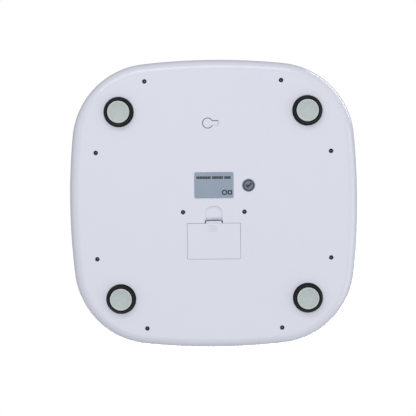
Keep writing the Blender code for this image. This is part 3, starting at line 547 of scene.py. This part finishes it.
def shell(name, profile, thickness, material):
    """A wall inside the (inset, z) profile, from its closed flat end to its rim."""
    bm = bmesh.new()
    loft(bm, [ring(case_outline(inset), z) for inset, z in profile], last_cap=False)
    obj = mesh_object(name, bm, material)
    wall = obj.modifiers.new("wall", "SOLIDIFY")
    wall.thickness = thickness
    wall.offset = -1
    wall.use_even_offset = True
    apply_modifiers(obj)
    return obj


def button_outline(margin=0.0, arm_margin=None):
    """A disc with an arm that runs towards -X. The arm's lower side can have its own margin."""
    low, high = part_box("unit_button")
    radius = (high.y - low.y) / 2
    x, y = high.x - radius, (low.y + high.y) / 2
    radius += margin
    upper = ARM_HALF_WIDTH + margin
    lower = ARM_HALF_WIDTH + (margin if arm_margin is None else arm_margin)
    root = low.x - (GAP if margin else 0)
    first, last = math.asin(lower / radius), math.asin(upper / radius)
    points = [(root, y - lower)]
    for step in range(49):
        angle = math.pi + first + (2 * math.pi - first - last) * step / 48
        points.append((x + radius * math.cos(angle), y + radius * math.sin(angle)))
    points.append((root, y + upper))
    return points


def mouth(bm, outline, end, fillet=0.25 * MM, face=None, way=1):
    """A cutter into a flat face, with a rounded edge. outline(margin) gives its points."""
    face = UNDERSIDE_Z if face is None else face
    rings = [ring(outline(fillet), face - 2 * MM * way), ring(outline(fillet), face - 0.01 * MM * way)]
    for step in range(1, 4):
        angle = math.pi / 2 * step / 3
        margin = fillet * (1 - math.sin(angle))
        rings.append(ring(outline(margin), face + fillet * (1 - math.cos(angle)) * way))
    loft(bm, [*rings, ring(outline(0.0), end)])


def round_mouth(bm, place, radius, end, fillet=0.25 * MM, steps=TURN_STEPS):
    mouth(bm, lambda margin: circle(radius + margin, place, steps), end, fillet)


def square_mouth(bm, low, high, radius, end, fillet=0.2 * MM, face=None, way=1):
    size = Vector(high).xy - Vector(low).xy
    centre = (Vector(low).xy + Vector(high).xy) / 2

    def outline(margin):
        grown = 2 * margin
        return rounded_rectangle(size.x + grown, size.y + grown, radius + margin, centre, 10)

    mouth(bm, outline, end, fillet, face, way)


def film_pocket(bm, node, radius):
    """A shallow place for a label, a little wider than the label."""
    low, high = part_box(node)
    floor_z = UNDERSIDE_Z + 0.4 * MM
    square_mouth(bm, low - EDGE_GAP, high + EDGE_GAP, radius + GAP, floor_z, 0.12 * MM)


def make_cover(mats):
    edge = rounded_edge(COVER_EDGE, UNDERSIDE_Z, PARTING_Z - 1.5 * MM, 18)
    cover = shell("cover_shell", [*edge, (0, PARTING_Z - GAP / 2)], COVER_WALL, mats["white"])
    add_cover_insides(cover)
    cut_cover(cover)
    even_shading(cover)
    dress(cover, "housing", "white_abs", "bottom_cover")


def add_cover_insides(cover):
    """The tub for the batteries, the screw sleeves and the block behind the recess."""
    root = UNDERSIDE_Z + 1 * MM
    bm = bmesh.new()
    tub = POCKET_HIGH + Vector((TUB_WALL, TUB_WALL, TUB_WALL))
    block(bm, POCKET_LOW - Vector((TUB_WALL, TUB_WALL, -3 * MM)), tub)
    for name in SCREWS:
        turn(bm, [(SLEEVE_RADIUS, root), (SLEEVE_RADIUS, 10 * MM)], middle(name).xy, 32)
    boolean(cover, bm, "UNION")
    bm = bmesh.new()
    half = RECESS_HALF_WIDTH + TUB_WALL
    block(bm, (-half, RECESS_Y, root), (half, ARCH_TOP_Y + TUB_WALL, UNDERSIDE_Z + 7.8 * MM))
    boolean(cover, bm, "UNION")


def scoop_depth(y):
    """Depth along the middle of the finger recess: it drops away steeply beside the latch."""
    share = (ARCH_TOP_Y - y) / (ARCH_TOP_Y - RECESS_Y)
    plunge = max(0.0, (share - 0.74) / 0.26) ** 1.4
    depth = (1.9 - 0.9 * share + 5 * plunge) * MM
    arch = max(0.0, (y - ARCH_Y) / (ARCH_TOP_Y - ARCH_Y))
    return depth * (1 - arch**3) ** (1 / 3)


def cut_recess(bm):
    """A scoop under a rounded arch, with curved walls."""
    spine = [(RECESS_Y + step * 0.6 * MM, RECESS_HALF_WIDTH) for step in range(12)]
    for step in range(24):
        angle = math.pi / 2 * step / 23.15
        rise = (ARCH_TOP_Y - ARCH_Y) * math.sin(angle) ** 0.85
        spine.append((ARCH_Y + rise, RECESS_HALF_WIDTH * math.cos(angle) ** 0.85))
    rings = []
    for y, half in spine:
        points = [Vector((-half, y, UNDERSIDE_Z - 2 * MM))]
        for step in range(25):
            across = -math.cos(math.pi * step / 24)
            depth = scoop_depth(y) * (1 - abs(across) ** 3) ** (1 / 3)
            points.append(Vector((half * across, y, UNDERSIDE_Z - 0.01 * MM + depth)))
        points.append(Vector((half, y, UNDERSIDE_Z - 2 * MM)))
        rings.append(points)
    loft(bm, rings)


def cut_cover(cover):
    """All the openings in the underside, from the widest to the narrowest."""
    bm = bmesh.new()
    for name in CUPS:
        round_mouth(bm, middle(name).xy, FOOT_HOLE_RADIUS, 12 * MM, 0.4 * MM)
    for name in SCREWS:
        round_mouth(bm, middle(name).xy, SCREW_HOLE_RADIUS, 8 * MM, 0.2 * MM, 32)
    cut_recess(bm)
    mouth(bm, lambda margin: button_outline(0.65 * MM + margin, 0.15 * MM), 10 * MM, 0.12 * MM)
    film_pocket(bm, "rating_label", 1.5 * MM)
    film_pocket(bm, "inspection_sticker", 6.5 * MM)
    door_seat = UNDERSIDE_Z + 2.1 * MM
    square_mouth(bm, DOOR_LOW - EDGE_GAP, DOOR_HIGH + EDGE_GAP, 0.8 * MM, door_seat)
    boolean(cover, bm, "DIFFERENCE")

    bm = bmesh.new()
    shank_hole = [(SHANK_HOLE_RADIUS, UNDERSIDE_Z - 2 * MM), (SHANK_HOLE_RADIUS, 11 * MM)]
    for name in SCREWS:
        turn(bm, shank_hole, middle(name).xy, 24)
    block(bm, POCKET_LOW, POCKET_HIGH)
    boolean(cover, bm, "DIFFERENCE")
    cut_latch_channel(cover)
    cut_clip_slots(cover)


def cut_latch_channel(cover):
    """The channel that the tongue stands in, and the undercut that its hook catches."""
    half = LATCH_SLOT_HALF_WIDTH
    bm = bmesh.new()
    square_mouth(bm, (-half, -20.6 * MM), (half, -16 * MM), 0.1 * MM, 15 * MM, 0.15 * MM)
    boolean(cover, bm, "DIFFERENCE")
    bm = bmesh.new()
    block(bm, (-12 * MM, -17.9 * MM, UNDERSIDE_Z + 2.5 * MM), (12 * MM, -16.3 * MM, 14 * MM))
    boolean(cover, bm, "DIFFERENCE")


def cut_clip_slots(cover):
    """Two slots that take the door's clips."""
    bm = bmesh.new()
    for x in (DOOR_CLIP_X, -DOOR_CLIP_X):
        block(bm, (x - 3.4 * MM, -57.5 * MM, 7 * MM), (x + 3.4 * MM, -52.5 * MM, 9.4 * MM))
    boolean(cover, bm, "DIFFERENCE")


def make_platform(mats):
    edge = rounded_edge(PLATFORM_EDGE, TOP_Z, TOP_Z - PLATFORM_EDGE, 14)
    profile = [*edge, (0, PARTING_Z + GAP / 2)]
    platform = shell("platform_shell", profile, PLATFORM_WALL, mats["white_top"])
    low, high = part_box("display_window")
    bm = bmesh.new()
    square_mouth(bm, low - EDGE_GAP, high + EDGE_GAP, 4.3 * MM, low.z - GAP, 0.3 * MM, TOP_Z, -1)
    for side in (1, -1):
        mouth(bm, lambda margin: grip_outline(side, margin), GRIP_Z, 0.35 * MM, TOP_Z, -1)
    boolean(platform, bm, "DIFFERENCE")
    bm = bmesh.new()
    centre = middle("display_window").xy
    prism(bm, rounded_rectangle(*WINDOW_OPENING, 2 * MM, centre), 30 * MM, TOP_Z + 1 * MM)
    boolean(platform, bm, "DIFFERENCE")
    even_shading(platform)
    dress(platform, "housing", "white_abs", "top_platform")
    make_lip(mats)
    make_grip_ribs(mats)


def make_lip(mats):
    """The step inside the joint, which closes the parting line from view."""
    section = [(1.4, -3), (1.4, -1), (2.7, -1), (2.7, 2.2), (4.0, 2.2), (4.0, -3)]
    bm = bmesh.new()
    rings = [ring(case_outline(inset * MM), PARTING_Z + z * MM) for inset, z in section]
    loft(bm, rings, closed=True)
    dress(mesh_object("cover_lip", bm, mats["white"]), "housing", "white_abs")


def grip_outline(side, margin=0.0):
    """The oval field that a foot stands on, on one side of the platform."""
    points = []
    for step in range(96):
        angle = 2 * math.pi * step / 96
        x = side * GRIP_X + (GRIP_HALF_WIDTH + margin) * math.cos(angle)
        points.append((x, GRIP_Y + (GRIP_HALF_DEPTH + margin) * math.sin(angle)))
    return points


def make_grip_ribs(mats):
    """Low rounded ribs that rise in each shallow oval, flush with the platform."""
    bm = bmesh.new()
    pitch, width = 5.2 * MM, 2.2 * MM
    height = TOP_Z - 0.03 * MM - GRIP_Z
    count = int(GRIP_HALF_DEPTH / pitch)
    for side in (1, -1):
        for row in range(-count, count + 1):
            y = row * pitch
            share = 1 - (abs(y) + width / 2) ** 2 / GRIP_HALF_DEPTH**2
            if share <= 0.02:
                continue
            reach = GRIP_HALF_WIDTH * math.sqrt(share) - 2 * MM
            rings = []
            for step in range(5):
                angle = math.pi / 2 * step / 4
                inset = width / 2 * 0.9 * (1 - math.cos(angle))
                across = width - 2 * inset
                points = rounded_rectangle(
                    2 * (reach - inset), across, across * 0.48, (side * GRIP_X, GRIP_Y + y), 6
                )
                rings.append(ring(points, GRIP_Z - 0.1 * MM + (height + 0.1 * MM) * math.sin(angle)))
            loft(bm, rings)
    dress(mesh_object("grip_ribs", bm, mats["white_top"], sharp=60), "housing", "white_abs")


# ---------------------------------------------------------------- fasteners and feet
def screw_profile(head, face, seat, tip):
    """A low dome, then a shank whose thread is nine turned ridges."""
    profile = []
    for step in range(7):
        angle = math.pi / 2 * step / 6
        profile.append((max(0.05 * MM, head * math.sin(angle)), face + 0.6 * MM * (1 - math.cos(angle))))
    profile += [(head, seat), (1.3 * MM, seat)]
    ridges = 9
    for number in range(ridges):
        z = seat + 0.6 * MM + (tip - seat - 2.4 * MM) * number / ridges
        profile += [(1.02 * MM, z), (1.3 * MM, z + 0.45 * MM)]
    return [*profile, (1.0 * MM, tip - 1.2 * MM), (0.1 * MM, tip)]


def cut_cross_drive(screw, face):
    half, reach = 0.28 * MM, 1.3 * MM
    points = quarter_turns([(half, half), (half, reach), (-half, reach)])
    deep = [(x * 0.5, y * 0.5) for x, y in points]
    bm = bmesh.new()
    top, edge, end = face - 0.5 * MM, face + 0.2 * MM, face + 1.1 * MM
    loft(bm, [ring(points, top), ring(points, edge), ring(deep, end)])
    boolean(screw, bm, "DIFFERENCE")


def shine_cross_drive(screw, mats, face, seat):
    """A painted glint: lighter metal on the faces inside the cross."""
    screw.data.materials.clear()
    for kind in ("zinc", "drive"):
        screw.data.materials.append(mats[kind])
    for polygon in screw.data.polygons:
        inside = math.hypot(*polygon.center.xy) < 1.25 * MM
        polygon.material_index = int(inside and face + 0.45 * MM < polygon.center.z < seat)


def make_screws(mats):
    """Domed heads with a cross drive and a threaded shank."""
    low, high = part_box(SCREWS[0])
    head, face, seat = (high.x - low.x) / 2, low.z, low.z + 1.5 * MM
    bm = bmesh.new()
    turn(bm, screw_profile(head, face, seat, high.z), steps=32)
    screw = mesh_object("screw", bm, mats["zinc"], sharp=40)
    cut_cross_drive(screw, face)
    shine_cross_drive(screw, mats, face, seat)
    for number, name in enumerate(SCREWS):
        copy = add_copy(f"{name}_detail", screw, middle(name))
        copy.rotation_euler.z = math.radians(37 * number)
        dress(copy, "housing", "dark_zinc", name)
    bpy.data.objects.remove(screw)


def make_cup(mats, pad_radius):
    """The rubber cup of a foot: a rounded bead below a flange and a stud."""
    low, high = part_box(CUPS[0])
    flange = (high.x - low.x) / 2
    inner = pad_radius + GAP
    bead_middle, bead_half = (inner + BEAD_RADIUS) / 2, (BEAD_RADIUS - inner) / 2
    bead = []
    for step in range(17):
        angle = math.pi * step / 16
        x, z = math.cos(angle), math.sin(angle)
        across = math.copysign(abs(x) ** 0.8, x)
        bead.append((bead_middle + bead_half * across, BEAD_Z - 1.7 * MM * z))
    profile = [
        (0.1 * MM, high.z),
        (FOOT_STUD_RADIUS, high.z),
        (FOOT_STUD_RADIUS, FLANGE_TOP_Z),
        (flange, FLANGE_TOP_Z),
        (flange, FLANGE_Z),
        (BEAD_RADIUS, FLANGE_Z),
        *bead,
        (0.1 * MM, BEAD_Z),
    ]
    bm = bmesh.new()
    turn(bm, profile)
    return mesh_object("cup", bm, mats["ring_rubber"], sharp=50)


def make_pad(mats, pad):
    """The pad of a foot: a disc with a raised rim, whose paler colour is a painted highlight."""
    profile = [
        (0.1 * MM, 1.9 * MM),
        (pad, 1.9 * MM),
        (pad, 0.45 * MM),
        (pad - 0.15 * MM, 0.15 * MM),
        (pad - 0.5 * MM, 0.0),
        (pad - 1.3 * MM, 0.02 * MM),
        (pad - 1.6 * MM, 0.3 * MM),
        (0.1 * MM, 0.3 * MM),
    ]
    bm = bmesh.new()
    turn(bm, profile)
    disc = mesh_object("disc", bm, mats["silicone"], sharp=50)
    disc.data.materials.append(mats["silicone_rim_highlight"])
    # Faces near the edge take the paler silicone: a painted highlight along the rim.
    for face in disc.data.polygons:
        face.material_index = int(math.hypot(*face.center.xy) > pad - 0.9 * MM)
    return disc


def make_feet(mats):
    low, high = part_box("foot_pad_1")
    pad = (high.x - low.x) / 2
    cup, disc = make_cup(mats, pad), make_pad(mats, pad)
    for number, name in enumerate(CUPS, start=1):
        place, body = middle(name), f"foot_{number}"
        dress(add_copy(f"foot_ring_{number}", cup, place), body, "black_rubber", name)
        disc_copy = add_copy(f"foot_disc_{number}", disc, place)
        dress(disc_copy, body, "grey_green_silicone", f"foot_pad_{number}")
        make_pad_studs(mats, number, place, pad)
    bpy.data.objects.remove(cup)
    bpy.data.objects.remove(disc)


def make_pad_studs(mats, number, place, pad):
    """Low rings of tiny studs that give the pad its grip."""
    steps = [(0.45 * MM, 0.35 * MM), (0.38 * MM, 0.12 * MM), (0.2 * MM, 0.05 * MM)]
    bm = bmesh.new()
    for ring_number in range(1, 6):
        radius = ring_number * 1.75 * MM
        if radius > pad - 2.2 * MM:
            break
        count = ring_number * 7
        for step in range(count):
            angle = 2 * math.pi * (step + ring_number * 0.31) / count
            turn(bm, steps, (radius * math.cos(angle), radius * math.sin(angle)), 8)
    studs = mesh_object(f"foot_studs_{number}", bm, mats["silicone"], 60, (place.x, place.y, 0))
    dress(studs, f"foot_{number}", "grey_green_silicone")


# ---------------------------------------------------------------- battery compartment
def make_door(mats):
    make_door_panel(mats)
    make_door_grip(mats)
    make_door_stiffeners(mats)


def make_door_panel(mats):
    """A flat plate with two hinge clips and a notch for the latch tongue."""
    width, edge, top = DOOR_HIGH.x - DOOR_LOW.x, DOOR_HIGH.y - DOOR_DEPTH, DOOR_TOP_Z
    centre = (0, DOOR_HIGH.y - DOOR_DEPTH / 2)
    bm = bmesh.new()
    prism(bm, rounded_rectangle(width, DOOR_DEPTH, 0.6 * MM, centre), UNDERSIDE_Z, top)
    door = mesh_object("door_panel", bm, mats["white"])
    clip = [
        (edge + 0.2 * MM, top - 0.6 * MM),
        (edge + 1.4 * MM, top - 0.6 * MM),
        (edge + 1.4 * MM, top + 1.7 * MM),
        (edge - 1.5 * MM, top + 1.7 * MM),
        (edge - 1.5 * MM, top + 0.7 * MM),
        (edge + 0.2 * MM, top + 0.7 * MM),
    ]
    bm = bmesh.new()
    for x in (DOOR_CLIP_X, -DOOR_CLIP_X):
        side_prism(bm, clip, x - 3 * MM, x + 3 * MM)
    boolean(door, bm, "UNION")
    half, back = LATCH_SLOT_HALF_WIDTH, DOOR_HIGH.y
    bm = bmesh.new()
    block(bm, (-half, back - 4 * MM, 5.8 * MM), (half, back + 1 * MM, top + 1 * MM))
    boolean(door, bm, "DIFFERENCE")
    round_edges(door, 0.18 * MM, 2)
    dress(door, "battery_door", "white_abs", "battery_door")


def make_door_grip(mats):
    """Three low ribs on the outside, next to the latch."""
    bm = bmesh.new()
    for row in range(3):
        y = DOOR_HIGH.y - (2.5 + 2.4 * row) * MM
        rib_low = (-3.1 * MM, y - 0.45 * MM, UNDERSIDE_Z - 0.5 * MM)
        block(bm, rib_low, (5.5 * MM, y + 0.45 * MM, UNDERSIDE_Z + 0.1 * MM))
    ribs = mesh_object("door_grip_ribs", bm, mats["white"])
    round_edges(ribs, 0.2 * MM, 3)
    dress(ribs, "battery_door", "white_abs")


def make_door_stiffeners(mats):
    """Four low ribs along the inside."""
    bm = bmesh.new()
    for x in (-21 * MM, -7 * MM, 7 * MM, 21 * MM):
        rib_low = (x - 0.5 * MM, DOOR_Y - 13 * MM, DOOR_TOP_Z - 0.1 * MM)
        block(bm, rib_low, (x + 0.5 * MM, DOOR_Y + 11 * MM, DOOR_TOP_Z + 0.35 * MM))
    stiffeners = mesh_object("door_inner_ribs", bm, mats["white"])
    round_edges(stiffeners, 0.12 * MM, 2)
    dress(stiffeners, "battery_door", "white_abs")


def make_latch(mats):
    """An L-shaped tongue with a hook on its standing leg."""
    low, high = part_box("door_latch")
    front = high.y - 1.4 * MM
    thickness = 1.2 * MM
    profile = [
        (front, low.z),
        (front, high.z),
        (front - thickness, high.z),
        (front - thickness, low.z + thickness),
        (low.y, low.z + thickness),
        (low.y, low.z),
    ]
    bm = bmesh.new()
    inset = 0.5 * MM
    side_prism(bm, profile, low.x + inset, high.x - inset)
    latch = mesh_object("latch_tongue", bm, mats["white"])
    bm = bmesh.new()
    hook_z = high.z - 0.9 * MM
    hook = [
        (front - 0.6 * MM, hook_z),
        (front - 0.6 * MM, high.z - 0.1 * MM),
        (front + 1.4 * MM, hook_z + 0.5 * MM),
        (front + 1.4 * MM, hook_z),
    ]
    side_prism(bm, hook, -5 * MM, 5 * MM)
    boolean(latch, bm, "UNION")
    round_edges(latch, 0.2 * MM, 2)
    dress(latch, "door_latch", "white_abs", "door_latch")


def cell_profile():
    """From the raised cap at the positive end, down the wrap, to the flat negative end."""
    length, radius, shoulder = CELL_LENGTH, CELL_RADIUS, CELL_SHOULDER
    return [
        (0.1 * MM, length),
        (1.5 * MM, length),
        (1.8 * MM, length - 0.3 * MM),
        (1.9 * MM, shoulder),
        (radius - 1.1 * MM, shoulder),
        (radius - 0.3 * MM, shoulder - 0.1 * MM),
        (radius, shoulder - 0.5 * MM),
        (radius, shoulder - CELL_BAND),
        (radius, 0.5 * MM),
        (radius - 0.4 * MM, 0.05 * MM),
        (radius - 0.9 * MM, 0.2 * MM),
        (radius - 1.2 * MM, 0),
        (0.1 * MM, 0),
    ]


def make_cell(mats):
    """Bare metal at the ends, a pale band below the cap, and a blue wrap."""
    bm = bmesh.new()
    turn(bm, cell_profile(), steps=48)
    cell = mesh_object("cell", bm, mats["battery"])
    for extra in ("battery_band", "nickel"):
        cell.data.materials.append(mats[extra])
    for face in cell.data.polygons:
        reach = max(math.hypot(*cell.data.vertices[i].co.xy) for i in face.vertices)
        if reach < CELL_RADIUS - 0.2 * MM:
            face.material_index = 2
        elif face.center.z > CELL_SHOULDER - CELL_BAND:
            face.material_index = 1
    return cell


def make_batteries(mats):
    """Three cells side by side; the middle one faces the other way."""
    cell = make_cell(mats)
    for number in (1, 2, 3):
        node = f"battery_{number}"
        low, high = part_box(node)
        centre = (low + high) / 2
        way, start = (-1, high.x) if number == 2 else (1, low.x)
        copy = add_object(f"cell_{number}", cell.data)
        copy.location = (start, centre.y, centre.z)
        copy.rotation_euler.y = way * math.pi / 2
        dress(copy, "housing", "battery_wrap", node)
    bpy.data.objects.remove(cell)


# ---------------------------------------------------------------- unit button and films
def make_button(mats):
    """A disc on an arm, dished on the outside, with a pin that reaches the switch."""
    low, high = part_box("unit_button")
    centre = (high.x - (high.y - low.y) / 2, (low.y + high.y) / 2)
    bm = bmesh.new()
    prism(bm, button_outline(), low.z, low.z + 1.6 * MM)
    button = mesh_object("button_tongue", bm, mats["white"])
    bm = bmesh.new()
    turn(bm, [(1.7 * MM, low.z + 1 * MM), (1.7 * MM, high.z)], centre, 32)
    boolean(button, bm, "UNION")
    bend, depth = 14 * MM, 0.35 * MM
    dish = [(3.65 * MM, low.z - 1 * MM)]
    for step in range(9):
        radius = 3.6 * MM * (1 - step / 8) + 0.05 * MM
        sag = bend - math.sqrt(bend**2 - radius**2)
        dish.append((radius, low.z + depth - sag))
    bm = bmesh.new()
    turn(bm, dish, centre, 48)
    boolean(button, bm, "DIFFERENCE")
    round_edges(button, 0.2 * MM, 2)
    dress(button, "unit_button", "white_abs", "unit_button")


def make_label(mats):
    """A metallised label with a heading bar of plain dashes, and two plain marks."""
    low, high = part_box("rating_label")
    size, centre = high - low, (low + high) / 2
    bm = bmesh.new()
    outline = rounded_rectangle(size.x, size.y, 1.5 * MM, (centre.x, centre.y), steps=10)
    prism(bm, outline, low.z, high.z)
    label = mesh_object("label_film", bm, mats["silver_film"])
    round_edges(label, 0.06 * MM, 2)
    dress(label, "housing", "silver_film", "rating_label")

    bm = bmesh.new()
    line_y = centre.y + 7.9 * MM
    x = centre.x + 18 * MM
    dash, space = 1.4 * MM, 0.25 * MM
    for count in (9, 7, 4):
        for _ in range(count):
            ink_block(bm, (x - dash, line_y - 1.35 * MM), (x, line_y + 1.35 * MM), low.z)
            x -= dash + space
        x -= 1.2 * MM
    mark = Vector((centre.x - 10.9 * MM, centre.y - 7.4 * MM))
    ink_frame(bm, [circle(radius, mark, 40) for radius in (2.8 * MM, 1.6 * MM)], low.z)
    mark.x -= 5.5 * MM
    squares = [(4.6, 0.5), (2.2, 0.2)]
    ink_frame(bm, [rounded_rectangle(w * MM, w * MM, r * MM, mark) for w, r in squares], low.z)
    dress(mesh_object("label_print", bm, mats["ink"]), "housing", "silver_film")


def ink_block(bm, low, high, face):
    block(bm, (*low, face - INK_PROUD), (*high, face + INK_SUNK))


def frame_ring(bm, outer, inner, top, bottom):
    """A flat frame between an outer and an inner outline."""
    rings = [ring(outer, top), ring(outer, bottom), ring(inner, bottom), ring(inner, top)]
    loft(bm, rings, closed=True)


def ink_frame(bm, outlines, face):
    """Printed ink between an outer and an inner outline."""
    frame_ring(bm, *outlines, face + INK_SUNK, face - INK_PROUD)


def make_sticker(mats):
    """A round film with a plain ring and a tick."""
    low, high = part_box("inspection_sticker")
    centre, radius, face = (low + high) / 2, (high.x - low.x) / 2, low.z
    bm = bmesh.new()
    turn(bm, [(radius, high.z), (radius, face + 0.04 * MM), (radius - 0.06 * MM, face)], centre.xy, 64)
    film = mesh_object("sticker_film", bm, mats["grey_film"])
    dress(film, "housing", "grey_film", "inspection_sticker")
    bm = bmesh.new()
    ink_frame(bm, [circle(reach, centre.xy, 64) for reach in (5.6 * MM, 4.6 * MM)], face)
    tick = [(-3.2, 0.6), (-2.0, 1.8), (-0.7, 0.5), (2.4, 3.4), (3.5, 2.2), (-0.7, -2.2)]
    points = [(centre.x - x * MM, centre.y + (y - 0.6) * MM) for x, y in tick]
    prism(bm, points, face - INK_PROUD, face + INK_SUNK)
    dress(mesh_object("sticker_print", bm, mats["ink"]), "housing", "grey_film")


# ---------------------------------------------------------------- display
def make_display(mats):
    """The window, the dark mask under its edge, and the LCD."""
    low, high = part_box("display_window")
    size, centre = high - low, (low + high) / 2
    bm = bmesh.new()
    outline = rounded_rectangle(size.x, size.y, 4 * MM, (centre.x, centre.y), steps=12)
    prism(bm, outline, low.z, high.z)
    window = mesh_object("window_lens", bm, mats["clear"])
    round_edges(window, 0.3 * MM, 3)
    dress(window, "housing", "clear_acrylic", "display_window")

    bm = bmesh.new()
    outer = rounded_rectangle(69 * MM, 27.2 * MM, 2 * MM, (centre.x, centre.y), steps=12)
    inner = rounded_rectangle(60 * MM, 22 * MM, 2 * MM, (centre.x, centre.y), steps=12)
    frame_ring(bm, outer, inner, low.z - 0.35 * MM, low.z - 0.6 * MM)
    dress(mesh_object("window_mask", bm, mats["mask"]), "housing", "black_rubber")

    panel_low, panel_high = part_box("lcd_panel")
    bm = bmesh.new()
    block(bm, panel_low, panel_high)
    panel = mesh_object("lcd_glass", bm, mats["lcd"])
    round_edges(panel, 0.25 * MM, 2)
    dress(panel, "housing", "lcd_glass", "lcd_panel")
    make_digits(mats, centre, panel_high.z)


def make_digits(mats, centre, face):
    """Generic seven-segment numbers that read 0.0."""
    width, height, bar = 9.5 * MM, 17 * MM, 1.9 * MM
    half_bar, low, high = bar / 2, face - 0.05 * MM, face + 0.06 * MM
    level = [(0, up, True) for up in (1, -1)]
    upright = [(across, up, False) for across in (1, -1) for up in (0.5, -0.5)]
    bm = bmesh.new()
    for middle_x in (3 * MM, 19 * MM):
        for across, up, flat in level + upright:
            x = centre.x + middle_x + across * width / 2
            y = centre.y + up * height / 2
            long = (width if flat else height / 2) / 2 - 0.25 * MM
            tip = long - half_bar
            half = [(-long, 0), (-tip, half_bar), (tip, half_bar)]
            points = half + [(-u, -v) for u, v in half]
            if not flat:
                points = [(v, u) for u, v in points]
            prism(bm, [(x + u, y + v) for u, v in points], low, high)
    point = (centre.x + 11 * MM, centre.y - height / 2)
    turn(bm, [(1.1 * MM, low), (1.1 * MM, high)], point, 24)
    dress(mesh_object("lcd_digits", bm, mats["digit"]), "housing", "lcd_glass")


# ---------------------------------------------------------------- carried-over CAD nodes
def finish_cad_nodes(mats):
    """Procedural materials on the CAD nodes that stay, by the first prefix that fits."""
    kinds = {
        "load_cell_bracket": "grey_abs",
        "load_cell": "steel",
        "lcd_frame": "grey_abs",
        "elastomer_strip": "rubber",
        "circuit_board": "board",
        "processor_chip": "epoxy",
        "unit_switch": "epoxy",
        "board_screw": "zinc",
        "sensor_lead": "grey_pvc",
        "battery_lead_red": "red_pvc",
        "battery_lead_black": "black_pvc",
        "battery_contact": "nickel",
        "battery_link": "nickel",
        "contact_spring": "nickel",
    }
    for name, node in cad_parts.items():
        for prefix, kind in kinds.items():
            if name.startswith(prefix):
                node.data.materials.clear()
                node.data.materials.append(mats[kind])
                break


make_camera()
make_lights()
make_world()
make_floor()
mats = make_materials()
make_cover(mats)
make_platform(mats)
make_screws(mats)
make_feet(mats)
make_door(mats)
make_latch(mats)
make_batteries(mats)
make_button(mats)
make_label(mats)
make_sticker(mats)
make_display(mats)
finish_cad_nodes(mats)
